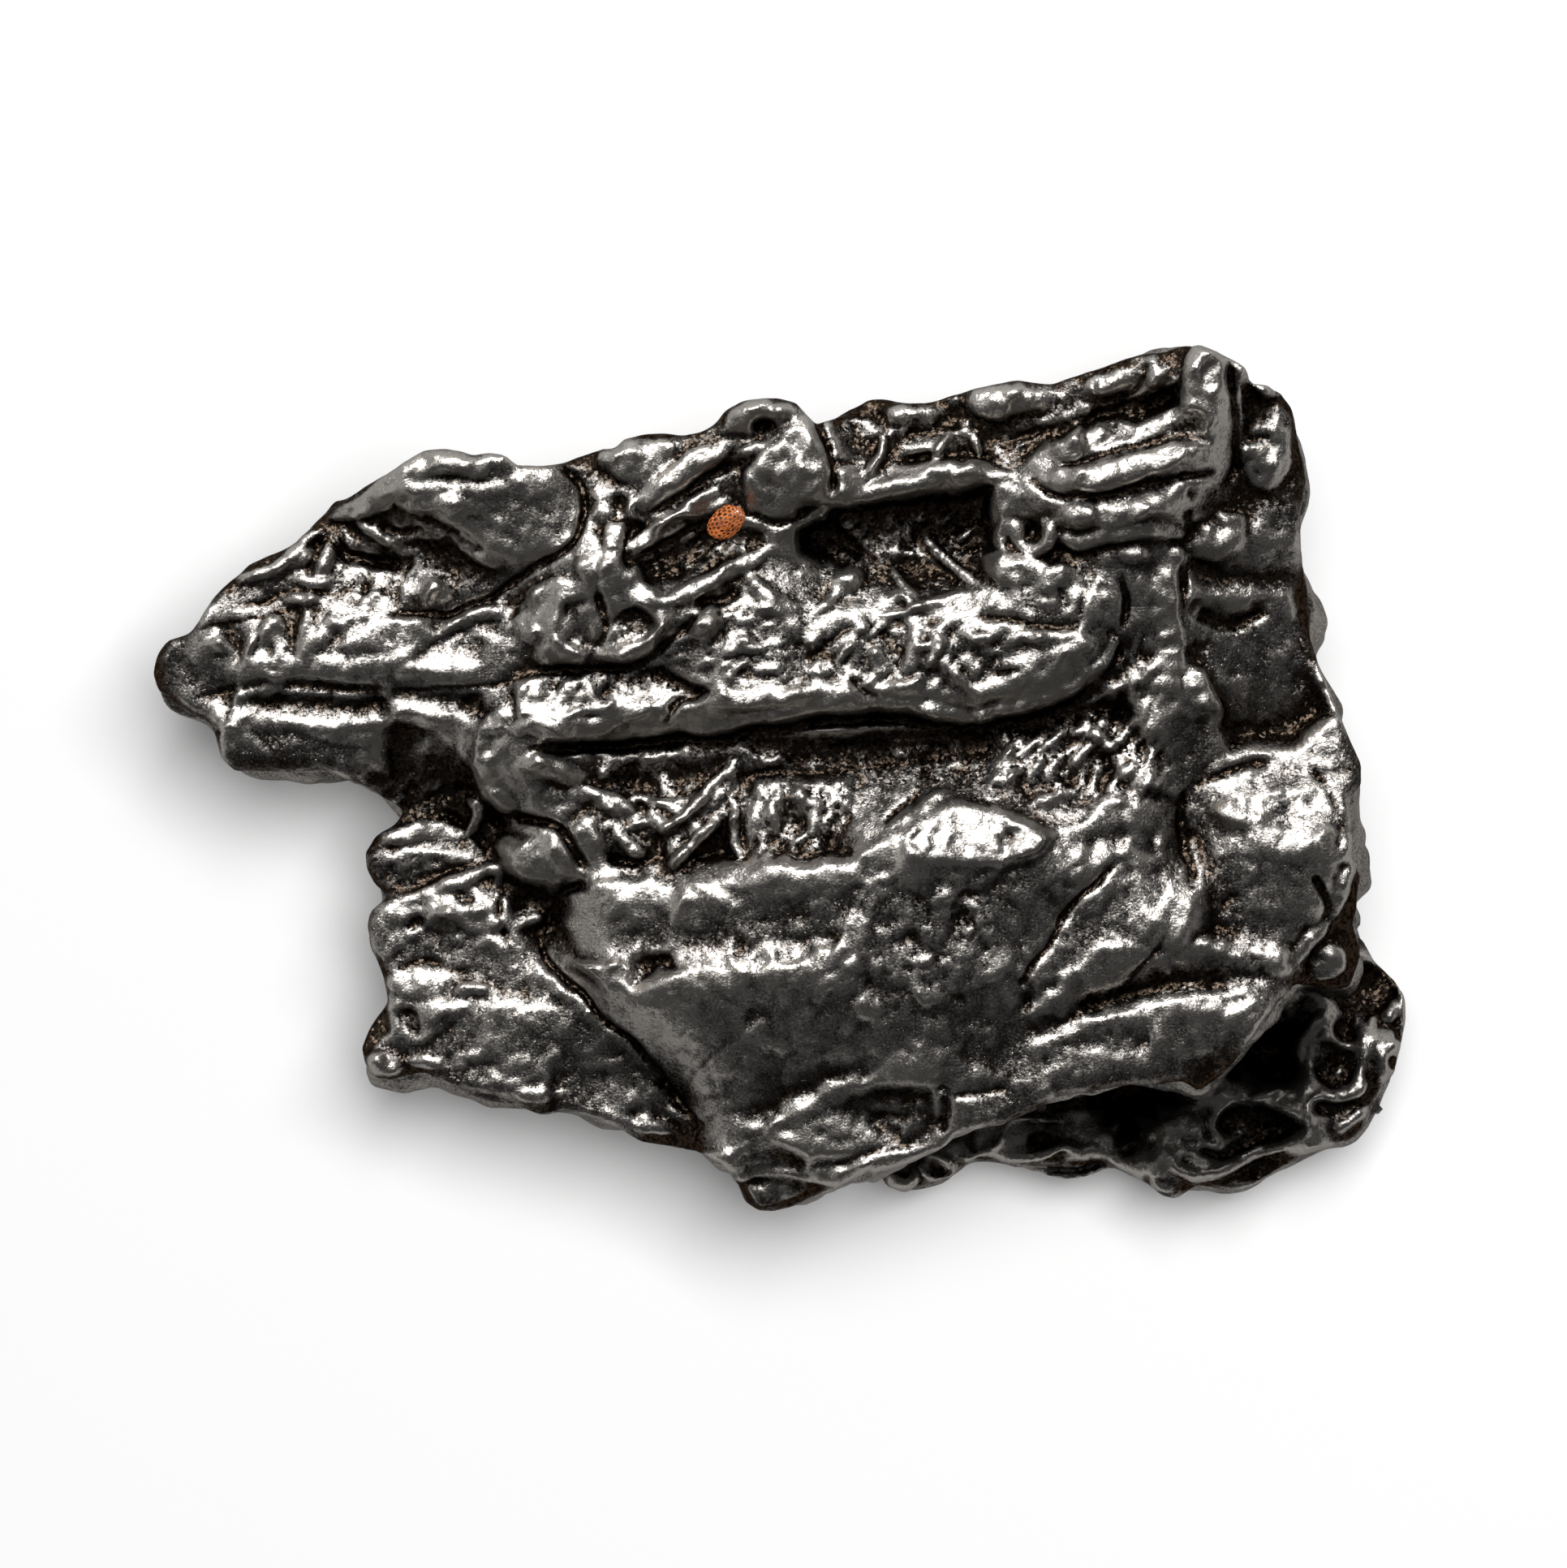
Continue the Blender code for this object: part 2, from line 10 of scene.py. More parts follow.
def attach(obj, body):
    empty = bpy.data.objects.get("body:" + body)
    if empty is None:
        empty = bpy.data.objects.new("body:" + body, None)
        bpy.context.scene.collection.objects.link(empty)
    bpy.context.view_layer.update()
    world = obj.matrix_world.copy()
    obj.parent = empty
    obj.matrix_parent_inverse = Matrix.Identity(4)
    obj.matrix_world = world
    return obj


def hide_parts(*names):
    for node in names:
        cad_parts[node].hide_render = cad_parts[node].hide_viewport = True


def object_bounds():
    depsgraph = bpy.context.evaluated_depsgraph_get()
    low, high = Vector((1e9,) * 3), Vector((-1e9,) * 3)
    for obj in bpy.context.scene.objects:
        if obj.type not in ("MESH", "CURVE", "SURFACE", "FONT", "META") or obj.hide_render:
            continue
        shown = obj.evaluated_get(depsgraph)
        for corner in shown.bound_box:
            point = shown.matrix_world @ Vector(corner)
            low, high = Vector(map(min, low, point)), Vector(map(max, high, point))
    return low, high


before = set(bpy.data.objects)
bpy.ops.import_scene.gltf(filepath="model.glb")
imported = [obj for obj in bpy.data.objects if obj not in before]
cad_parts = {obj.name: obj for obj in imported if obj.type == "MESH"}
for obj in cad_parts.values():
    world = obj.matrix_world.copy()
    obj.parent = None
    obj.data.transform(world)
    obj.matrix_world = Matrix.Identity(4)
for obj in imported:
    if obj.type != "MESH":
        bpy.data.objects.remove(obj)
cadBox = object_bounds()
mm = 0.001

# ---- camera: straight down on the shard, from a tripod arm

cameraLook = {
    "lensMm": 240,
    "sensorMm": 36,
    "aimMm": (0.03, -0.09, 11.0),
    "distanceMm": 402,
}


def addCamera(look):
    data = bpy.data.cameras.new("copyStandCamera")
    data.lens = look["lensMm"]
    data.sensor_width = look["sensorMm"]
    data.clip_start = 0.01
    camera = bpy.data.objects.new("copyStandCamera", data)
    x, y, z = look["aimMm"]
    camera.location = (x * mm, y * mm, (z + look["distanceMm"]) * mm)
    bpy.context.scene.collection.objects.link(camera)
    bpy.context.scene.camera = camera


addCamera(cameraLook)
print("camera set")

# ---- plan outlines of the shard, in mm, both from the west and round by the north

slabOutline = [
    (-24.29, 4.14), (-24.1, 4.9), (-23.7, 5.45), (-22.83, 5.78), (-22.4, 6.3), (-22.0, 7.0), (-21.3, 7.75),
    (-20.5, 8.4), (-18.9, 9.03), (-18.3, 9.6), (-17.3, 10.78), (-16.7, 10.95), (-13.7, 12.65),
    (-12.9, 12.75), (-12.3, 12.65), (-11.9, 12.5), (-11.2, 12.56), (-10.6, 12.45), (-10.2, 12.06),
    (-9.2, 12.1), (-8.3, 12.25), (-6.9, 12.76), (-6.46, 12.76), (-6.1, 13.15), (-5.4, 13.3), (-4.6, 13.32),
    (-3.8, 13.23), (-3.1, 13.4), (-2.6, 13.66), (-2.2, 14.15), (-1.6, 14.48), (-0.8, 14.66), (-0.1, 14.65),
    (0.5, 14.47), (1.3, 13.62), (1.95, 13.86), (2.6, 14.3), (3.33, 14.63), (3.9, 14.68), (4.8, 14.5),
    (5.6, 14.5), (6.4, 14.79), (8.0, 15.18), (8.9, 15.31), (10.3, 15.16), (12.0, 15.78), (14.0, 16.38),
    (14.6, 16.4), (15.1, 16.6), (15.8, 16.63), (16.5, 16.4), (17.6, 15.75), (17.8, 15.16), (18.5, 15.1),
    (19.1, 14.85), (19.45, 14.3), (20.06, 11.5), (19.84, 10.24), (19.88, 9.2), (20.34, 6.4), (20.32, 5.6),
    (20.7, 4.2), (22.2, 0.6), (22.2, -0.1), (21.75, -0.7), (21.8, -2.9), (22.15, -3.5), (21.9, -5.6),
    (22.2, -6.3), (22.25, -6.8), (21.85, -7.9), (21.2, -8.05), (19.7, -7.75), (19.0, -8.4), (18.4, -9.1),
    (17.4, -10.6), (16.7, -11.4), (16.0, -11.9), (15.3, -11.5), (13.2, -11.63), (10.4, -12.06), (9.6, -12.6),
    (8.5, -13.06), (7.4, -13.3), (6.6, -13.6), (6.0, -14.15), (5.0, -14.6), (3.0, -15.1), (0.4, -16.4),
    (-0.3, -16.58), (-0.9, -16.56), (-1.45, -16.25), (-1.95, -15.1), (-2.36, -14.66), (-3.2, -14.3),
    (-5.5, -13.9), (-6.2, -13.4), (-7.2, -13.0), (-8.5, -12.7), (-9.3, -12.85), (-9.9, -12.7),
    (-10.5, -12.2), (-12.7, -11.83), (-13.8, -11.22), (-15.14, -11.54), (-15.8, -11.4), (-16.2, -10.9),
    (-16.3, -10.3), (-15.95, -9.55), (-15.23, -8.47), (-15.4, -7.7), (-16.08, -5.6), (-15.95, -5.0),
    (-15.25, -4.44), (-15.75, -4.0), (-16.1, -3.4), (-16.18, -2.75), (-15.8, -2.1), (-15.0, -1.67),
    (-14.6, -1.1), (-15.9, -0.3), (-17.7, 0.5), (-19.0, 0.4), (-21.1, 0.45), (-21.6, 0.95), (-21.9, 1.9),
    (-22.1, 2.3), (-22.9, 2.66), (-24.1, 3.5),
]

lobeOutline = [
    (3.6, -14.4), (3.8, -15.3), (4.1, -15.8), (4.75, -16.05), (6.6, -15.4), (6.9, -15.0), (7.6, -14.77),
    (10.4, -15.03), (11.6, -15.05), (12.4, -14.77), (14.2, -15.7), (14.8, -16.15), (15.3, -16.22),
    (16.2, -15.7), (17.7, -15.97), (18.5, -15.7), (19.3, -15.15), (20.2, -14.65), (22.1, -14.0),
    (22.65, -13.5), (22.9, -12.7), (23.3, -11.95), (23.85, -11.4), (24.33, -9.2), (24.3, -8.34),
    (23.9, -7.75), (23.2, -7.04), (22.7, -6.2), (22.1, -5.8), (19.5, -6.0), (15.0, -8.0), (9.0, -10.0),
    (5.0, -12.0),
]

# ---- the relief of the shard's upper side, as heights over a fine grid

reliefGrid = {
    "seeds": (11, 12),  # slab, lobe
    "wanderMm": 0.16,  # how far drawn lines stray, as torn metal does
    "wanderSizes": [(0.9, 1.0), (0.4, 0.5)],  # in swells of this size, by this share
    "rippleMm": 0.7,  # size of the swells that make bars and furrows uneven
    "tiles": [(3.4, 0.06), (1.2, 0.12), (0.5, 0.19), (0.28, 0.19)],  # size and lean of the flaked faces
    "cellMm": 0.06,  # fineness of the height grid
    "marginMm": 1.0,
    "curveStepMm": 0.25,  # spacing of points along a smoothed line
    "coreMm": 1.2,  # the CAD's rounded rim is left out this far in
    "evenMm": 0.8,  # how much the CAD's own furrows are evened out
    "evenLobeMm": 0.5,
    "broadMm": 0.6,  # how far the metal is evened out to find its broad height
}


carving = {
    "furrowWidth": 0.65,  # share of the drawn width
    "furrowDepth": 0.55,
    "barHeight": 0.8,
    "ribHeight": 0.75,
    "barSquareness": 2.8,  # 2 gives round bars, more gives flat-topped ones
    "bevelSlope": 0.42,  # steepness of the bright bevels along plate edges
    "bevelLipMm": 0.05,
    "barFillet": 0.08,
    "furrowFillet": 0.05,
    "lumpFillet": 0.12,
    "bowlFillet": 0.06,
    "furrowTaper": 0.15,  # share of a furrow's length that runs out at each end
    "furrowGrit": 0.6,  # how torn furrows, bowls and ribs are left
    "bowlGrit": 0.8,
    "ribGrit": 0.35,
    "ribWander": 0.35,
    "ribFeather": 0.3,
}


class Relief:
    # heights of one plate's upper side in mm, with tools that add metal or cut it away
    def __init__(self, grid, outline, seed):
        self.cell = grid["cellMm"]
        self.step = grid["curveStepMm"]
        self.broadCells = int(grid["broadMm"] / grid["cellMm"])
        low, high = [np.array(corner) / mm for corner in cadBox]
        self.x0, self.y0 = low[:2] - grid["marginMm"]
        count = np.ceil((high[:2] - low[:2] + 2 * grid["marginMm"]) / self.cell).astype(int)
        self.nx, self.ny = count
        self.gx, self.gy = np.meshgrid(self.x0 + np.arange(self.nx) * self.cell,
                                       self.y0 + np.arange(self.ny) * self.cell, indexing="ij")
        self.z = np.zeros((self.nx, self.ny))
        self.rng = np.random.default_rng(seed)
        self.wx, self.wy = [plain + grid["wanderMm"] * sum(share * self.drift(size)
                                                           for size, share in grid["wanderSizes"])
                            for plain in (self.gx, self.gy)]
        self.ripple = self.drift(grid["rippleMm"])
        self.grit = np.zeros_like(self.z)  # where the metal is left torn and granular
        self.shine = np.zeros_like(self.z)  # where handling has burnished it
        self.depth = signedDistance(self.gx, self.gy, np.array(outline))

    def settle(self, heights, known, evenMm):
        # takes the broad height of the metal from the solid
        self.z = self.spread(heights, known, evenMm)
        self.level()

    def cast(self, tree, fromMm):
        # heights where rays straight down first meet the solid
        out = np.full(self.gx.shape, -1.0)
        for i in range(self.nx):
            x = self.gx[i, 0] * mm
            for j in range(self.ny):
                hit = tree.ray_cast(Vector((x, self.gy[i, j] * mm, fromMm * mm)), Vector((0, 0, -1)))[0]
                if hit:
                    out[i, j] = hit.z / mm
        return out

    def spread(self, field, known, sizeMm):
        # evens out the known heights and carries them on to the cells around
        known = known.astype(float)
        total, weight = 0, 1e-9
        for share, size in ((1, sizeMm), (1e-2, 3 * sizeMm), (1e-4, 12 * sizeMm)):
            cells = max(1, int(size / self.cell))
            total = total + share * blurred(field * known, cells)
            weight = weight + share * blurred(known, cells)
        return total / weight

    def drift(self, size):
        # smooth random field from -1 to 1 whose swells are about this size in mm
        rows, columns = int(self.nx * self.cell / size) + 4, int(self.ny * self.cell / size) + 4
        knots = self.rng.uniform(-1, 1, (rows, columns))
        u, v = np.arange(self.nx) * self.cell / size + 1, np.arange(self.ny) * self.cell / size + 1
        wide = np.zeros((self.nx, columns))
        for k in range(-1, 3):
            wide += knots[u.astype(int) + k] * spline(u % 1 - k)[:, None]
        out = np.zeros((self.nx, self.ny))
        for k in range(-1, 3):
            out += wide[:, v.astype(int) + k] * spline(v % 1 - k)[None, :]
        return out

    def tiles(self, size, slope):
        # a surface broken into small flat faces, each leaning its own way
        rows, columns = int(self.nx * self.cell / size) + 3, int(self.ny * self.cell / size) + 3
        jitter = self.rng.uniform(0, 1, (2, rows, columns))
        lean = self.rng.normal(0, slope, (2, rows, columns))
        u, v = (self.wx - self.x0) / size + 1, (self.wy - self.y0) / size + 1
        best = np.full(self.z.shape, 1e9)
        out = np.zeros_like(self.z)
        for di in (-1, 0, 1):
            for dj in (-1, 0, 1):
                i = np.clip(u.astype(int) + di, 0, rows - 1)
                j = np.clip(v.astype(int) + dj, 0, columns - 1)
                dx, dy = u - i - jitter[0][i, j], v - j - jitter[1][i, j]
                dist = dx * dx + dy * dy
                out = np.where(dist < best, (lean[0][i, j] * dx + lean[1][i, j] * dy) * size, out)
                best = np.minimum(best, dist)
        return out

    def level(self):
        # the broad height of the metal, which bars stand on and furrows are cut from
        self.broad = blurred(self.z, self.broadCells)

    def window(self, points, reach):
        low = np.min(points, axis=0) - reach
        high = np.max(points, axis=0) + reach
        i0, j0 = [max(0, int((low[k] - origin) / self.cell)) for k, origin in enumerate((self.x0, self.y0))]
        i1, j1 = [int((high[k] - origin) / self.cell) + 2 for k, origin in enumerate((self.x0, self.y0))]
        return (slice(i0, max(i0 + 1, min(self.nx, i1))), slice(j0, max(j0 + 1, min(self.ny, j1))))

    def smoothLine(self, line):
        # a curve through given points
        p = np.array(line, float)
        if len(p) < 3:
            count = max(2, int(np.hypot(*(p[-1] - p[0])) / self.step) + 1)
            return p[0] + (p[-1] - p[0]) * np.linspace(0, 1, count)[:, None]
        q = np.vstack([2 * p[0] - p[1], p, 2 * p[-1] - p[-2]])
        out = []
        for a, b, c, d in zip(q[:-3], q[1:-2], q[2:-1], q[3:]):
            count = max(2, int(np.hypot(*(c - b)) / self.step) + 1)
            t = np.linspace(0, 1, count, endpoint=False)[:, None]
            out.append(0.5 * (2 * b + (c - a) * t + (2 * a - 5 * b + 4 * c - d) * t ** 2
                              + (3 * b - a - 3 * c + d) * t ** 3))
        return np.vstack(out + [p[-1:]])

    def nearLine(self, line, reach):
        # for each cell near a line: distance, place along it from 0 to 1, and the side it is on
        pts = self.smoothLine(line)
        win = self.window(pts, reach)
        gx, gy = self.wx[win], self.wy[win]
        best = np.full(gx.shape, 1e9)
        along = np.zeros(gx.shape)
        side = np.zeros(gx.shape)
        steps = np.hypot(*(pts[1:] - pts[:-1]).T)
        total = steps.sum()
        run = 0.0
        for a, b, length in zip(pts[:-1], pts[1:], steps):
            if length < 1e-9:
                continue
            d = (b - a) / length
            t = np.clip((gx - a[0]) * d[0] + (gy - a[1]) * d[1], 0, length)
            dx, dy = gx - a[0] - t * d[0], gy - a[1] - t * d[1]
            dist = dx * dx + dy * dy
            closer = dist < best
            best = np.where(closer, dist, best)
            along = np.where(closer, (run + t) / total, along)
            side = np.where(closer, np.sign(d[0] * dy - d[1] * dx), side)
            run += length
        return win, np.sqrt(best), along, side, pts

    def heightAlong(self, pts, along):
        # the metal's own height under the line, evened out, read back at each place along it
        i = np.clip(((pts[:, 0] - self.x0) / self.cell).round().astype(int), 0, self.nx - 1)
        j = np.clip(((pts[:, 1] - self.y0) / self.cell).round().astype(int), 0, self.ny - 1)
        z = self.broad[i, j]
        padded = np.concatenate([z[:1]] * 2 + [z] + [z[-1:]] * 2)
        z = np.convolve(padded, np.ones(5) / 5, mode="valid")
        steps = np.hypot(*(pts[1:] - pts[:-1]).T)
        share = np.concatenate([[0], np.cumsum(steps)]) / max(steps.sum(), 1e-9)
        return np.interp(along, share, z)

    def thinning(self, along, taper):
        # 1 along most of a line, running out to 0 at its ends
        return np.clip(np.minimum(along, 1 - along) / taper, 0, 1) ** 0.5 if taper else 1.0

    def add(self, win, level, soft):
        self.z[win] = softMax(self.z[win], level, soft)

    def take(self, win, level, soft):
        self.z[win] = -softMax(-self.z[win], -level, soft)

    def mark(self, field, win, amount):
        field[win] = np.maximum(field[win], amount)

    def bar(self, width, height, line, taper=0.25):
        # a rounded rib of metal standing on what is under it
        half, square = width / 2, carving["barSquareness"]
        height = height * carving["barHeight"]
        win, dist, along, side, pts = self.nearLine(line, half * 1.6)
        thin = self.thinning(along, taper)
        r = dist / (half * (0.45 + 0.55 * thin) * (1 + 0.3 * self.ripple[win]))
        crown = np.clip(1 - r ** square, 0, 1) ** (1 / square)
        level = self.heightAlong(pts, along) + height * thin * (1 + 0.5 * self.ripple[win]) * crown
        self.add(win, level - np.where(r > 1, (r - 1) * 4 * half, 0) - 0.12 * height, carving["barFillet"])
        self.mark(self.shine, win, crown * thin)

    def cut(self, width, depth, line):
        # a furrow, or with a small width a crack
        half = width / 2 * carving["furrowWidth"]
        win, dist, along, side, pts = self.nearLine(line, half * 1.6)
        depth = depth * carving["furrowDepth"] * self.thinning(along, carving["furrowTaper"])
        r = dist / half
        level = self.heightAlong(pts, along) + np.where(r > 1, (r - 1) * 5 * half, 0)
        level -= depth * (1 + 0.5 * self.ripple[win]) * (1 - np.clip(r, 0, 1) ** 1.4)
        self.take(win, level, carving["furrowFillet"])
        self.mark(self.grit, win, carving["furrowGrit"] * np.clip(1.1 - r, 0, 1))

    def round(self, x, y, a, b, turn):
        # an uneven ellipse: its window, the distance from its middle (1 at its edge), and a crown over it
        win = self.window(np.array([[x, y]]), max(a, b) * 1.7)
        c, s = math.cos(math.radians(turn)), math.sin(math.radians(turn))
        dx, dy = self.wx[win] - x, self.wy[win] - y
        u, v = (dx * c + dy * s) / a, (-dx * s + dy * c) / b
        r = np.sqrt(u * u + v * v) * (1 + 0.4 * self.ripple[win])
        return win, r, np.sqrt(np.clip(1 - r * r, 0, 1))

    def levelAt(self, x, y):
        i = int(np.clip(round((x - self.x0) / self.cell), 0, self.nx - 1))
        j = int(np.clip(round((y - self.y0) / self.cell), 0, self.ny - 1))
        return self.broad[max(0, i - 2):i + 3, max(0, j - 2):j + 3].mean()

    def lump(self, x, y, a, b, height, turn):
        # a rounded boss
        win, r, crown = self.round(x, y, a, b, turn)
        level = self.levelAt(x, y) + height * (crown - 0.15)
        self.add(win, level - np.where(r > 1, (r - 1) * 3 * min(a, b), 0), carving["lumpFillet"])
        self.mark(self.shine, win, crown)

    def bowl(self, x, y, a, b, depth, turn):
        win, r, hollow = self.round(x, y, a, b, turn)
        level = self.levelAt(x, y) - depth * carving["furrowDepth"] * hollow
        self.take(win, level + np.where(r > 1, (r - 1) * 4 * min(a, b), 0), carving["bowlFillet"])
        self.mark(self.grit, win, carving["bowlGrit"] * hollow)

    def inside(self, corners, feather):
        # 1 well inside a closed outline, 0 outside, blending over the feather
        pts = np.array(corners, float)
        win = self.window(pts, 3 * feather)
        return win, smooth01(signedDistance(self.wx[win], self.wy[win], pts) / feather * 0.5 + 0.5)

    def facet(self, slope, shift, corners, feather=0.35, keep=0.25, grit=0.0, shine=0.0, own=0.0):
        # flattens an area to a tilted face: slope is the rise per mm along x and y, keep the share of its
        # unevenness that stays and own the share of its own lean
        win, share = self.inside(corners, feather)
        weight = share * (self.depth[win] > 0) + 1e-9
        weight /= weight.sum()
        dx, dy = [part[win] - (part[win] * weight).sum() for part in (self.gx, self.gy)]
        mean = (self.z[win] * weight).sum()
        rise = self.z[win] - mean
        lean = np.linalg.solve([[(weight * a * b).sum() for a in (dx, dy)] for b in (dx, dy)],
                               [(weight * a * rise).sum() for a in (dx, dy)])
        plane = (slope[0] + own * lean[0]) * dx + (slope[1] + own * lean[1]) * dy
        level = mean + shift + plane + keep * (rise - lean[0] * dx - lean[1] * dy)
        self.z[win] += (level - self.z[win]) * share
        self.mark(self.grit, win, grit * share)
        self.mark(self.shine, win, shine * share)

    def edge(self, width, fade, line):
        # a plate's bevelled edge: the metal drops on the line's left side and climbs back over the fade
        win, dist, along, side, pts = self.nearLine(line, fade + width)
        thin = np.clip(np.minimum(along, 1 - along) / 0.12, 0, 1) ** 0.7 * (1 + 0.35 * self.ripple[win])
        signed = side * dist
        fall = smooth01(signed / width + 0.2) * (1 - smooth01((signed - width) / fade))
        crest = np.exp(-((signed + 0.2 * width) / (0.5 * width)) ** 2)
        self.z[win] += (carving["bevelLipMm"] * crest - carving["bevelSlope"] * width * fall) * thin
        bevel = smooth01(signed / width + 0.4) * (1 - smooth01(signed / width - 0.5))
        self.mark(self.shine, win, bevel * thin)

    def ribs(self, angle, spacing, height, corners):
        # thin parallel plates, torn off at uneven heights
        win, share = self.inside(corners, carving["ribFeather"])
        gx, gy = self.gx[win], self.gy[win]
        c, s = math.cos(math.radians(angle)), math.sin(math.radians(angle))
        u, v = -gx * s + gy * c, gx * c + gy * s
        u = u + carving["ribWander"] * spacing * np.sin(v * 1.7 + 3.1 * np.sin(u * 0.9))
        wave = np.abs(np.sin(math.pi * u / spacing)) ** 0.8
        uneven = 0.65 + 0.35 * np.sin(v * 1.38 / spacing + np.floor(u / spacing) * 2.4)
        self.z[win] += share * height * carving["ribHeight"] * (wave * uneven - 0.6)
        self.mark(self.grit, win, carving["ribGrit"] * share)

    def sample(self, field, x, y):
        u = np.clip((x - self.x0) / self.cell, 0, self.nx - 1.001)
        v = np.clip((y - self.y0) / self.cell, 0, self.ny - 1.001)
        i, j = u.astype(int), v.astype(int)
        fu, fv = u - i, v - j
        return ((field[i, j] * (1 - fu) + field[i + 1, j] * fu) * (1 - fv)
                + (field[i, j + 1] * (1 - fu) + field[i + 1, j + 1] * fu) * fv)


def signedDistance(gx, gy, pts):
    # distance inside a closed outline, negative outside it
    hits = np.zeros(gx.shape, bool)
    best = np.full(gx.shape, 1e9)
    for a, b in zip(pts, np.roll(pts, -1, axis=0)):
        d = b - a
        t = np.clip(((gx - a[0]) * d[0] + (gy - a[1]) * d[1]) / (d @ d), 0, 1)
        best = np.minimum(best, (gx - a[0] - t * d[0]) ** 2 + (gy - a[1] - t * d[1]) ** 2)
        if abs(d[1]) > 1e-9:
            cross = (a[1] > gy) != (b[1] > gy)
            hits ^= cross & (gx < a[0] + (gy - a[1]) * d[0] / d[1])
    return np.where(hits, 1, -1) * np.sqrt(best)


def spline(t):
    # cubic B-spline weight
    t = np.abs(t)
    return np.where(t < 1, 2 / 3 - t * t + t ** 3 / 2, np.clip(2 - t, 0, 2) ** 3 / 6)


def smooth01(t):
    t = np.clip(t, 0, 1)
    return t * t * (3 - 2 * t)


def softMax(a, b, k):
    # the higher of two levels, with a small fillet of about k where they meet
    h = np.clip(0.5 + 0.5 * (a - b) / k, 0, 1)
    return b + (a - b) * h + k * h * (1 - h)


def blurred(field, cells):
    # evens a grid out over about this many cells
    out = field
    for axis in (0, 1):
        total = np.zeros_like(out)
        weights = 0.0
        for k in range(-2 * cells, 2 * cells + 1):
            w = math.exp(-0.5 * (k / cells) ** 2)
            total += w * np.roll(out, k, axis=axis)
            weights += w
        out = total / weights
    return out


# what stands on or is cut into the upper side, in mm: the last item of each row is where it runs

upperLeftLobe = {
    "facets": [
        ((0.05, -0.28), 0.1, [(-15.6, 10.9), (-14.2, 12.2), (-12.6, 12.5), (-10.8, 11.7), (-9.4, 11.9),
            (-9.4, 11.1), (-14, 10.8)]),
        ((0.02, 0.12), 0, [(-13.4, 10.6), (-11.6, 11), (-8.6, 11), (-7.9, 10.2), (-8.4, 9.2), (-10.4, 8.5),
            (-12.4, 9.3)]),
        ((0, 0.16), 0, [(-18.8, 8.6), (-13.2, 8.7), (-10.4, 8.2), (-11.4, 7.1), (-13.6, 6.7), (-17.4, 7)],
            0.4, 0.7, 0.5, 0, 1),
    ],
    "bars": [
        (1, 0.5, [(-17.3, 10.3), (-16.3, 10.5), (-14.2, 11.8), (-13.2, 12.2), (-12.3, 12.2), (-11.2, 11.8)]),
        (0.7, 0.25, [(-14.9, 10.9), (-13, 10.6), (-12.2, 10.9)]),
        (0.4, 0.3, [(-16.2, 9.95), (-14.7, 8.9), (-13.7, 8.7)]),
        (0.6, 0.3, [(-12.6, 9.4), (-11.4, 8.6), (-10.7, 8.4)]),
        (0.5, 0.35, [(-21.2, 7.9), (-20.2, 8), (-19.4, 8.3), (-18, 9.7)]),
        (0.5, 0.25, [(-18.9, 8), (-18, 7.7), (-17.3, 7.9)]),
        (0.6, 0.3, [(-16.6, 7.2), (-15, 6.9)]),
        (0.5, 0.3, [(-19, 7), (-17.8, 7)]),
    ],
    "cuts": [
        (0.5, 1.5, [(-17.6, 10), (-16.6, 9.9), (-15.8, 10.4), (-15, 10.6), (-13.2, 9.8), (-12.6, 9.4)]),
        (1.1, 1.2, [(-18.4, 9.3), (-17.6, 9.2), (-16.6, 8.7), (-14.6, 8.3)]),
        (0.7, 0.9, [(-15.6, 9.9), (-14.9, 9.6), (-14, 9.5)]),
        (0.5, 0.7, [(-20.8, 6.8), (-20, 6.9), (-19.2, 7.2), (-18, 7.3), (-17, 7.2)]),
    ],
    "ribs": [
        (96, 0.55, 0.55, [(-18.9, 9.3), (-18.3, 8), (-17, 7.9), (-16.2, 8.6), (-16.4, 9.6), (-17.6, 9.8)]),
        (98, 0.6, 0.5, [(-15.7, 8.6), (-15.2, 7.8), (-13.4, 7.7), (-13.2, 8.5), (-14.6, 8.7)]),
        (98, 0.5, 0.5, [(-15.1, 10), (-14.9, 9.2), (-13.6, 8.9), (-13.6, 9.8)]),
    ],
    "lumps": [(-17.5, 8.45, 0.28, 0.55, 0.4, -15), (-9.7, 11.5, 0.7, 0.4, 0.15, 0),
        (-14, 8.3, 0.3, 0.35, 0.3, 0), (-10.8, 12.3, 0.9, 0.35, 0.2, -10), (-13.7, 7.6, 1, 0.9, 0.25, 0)],
}

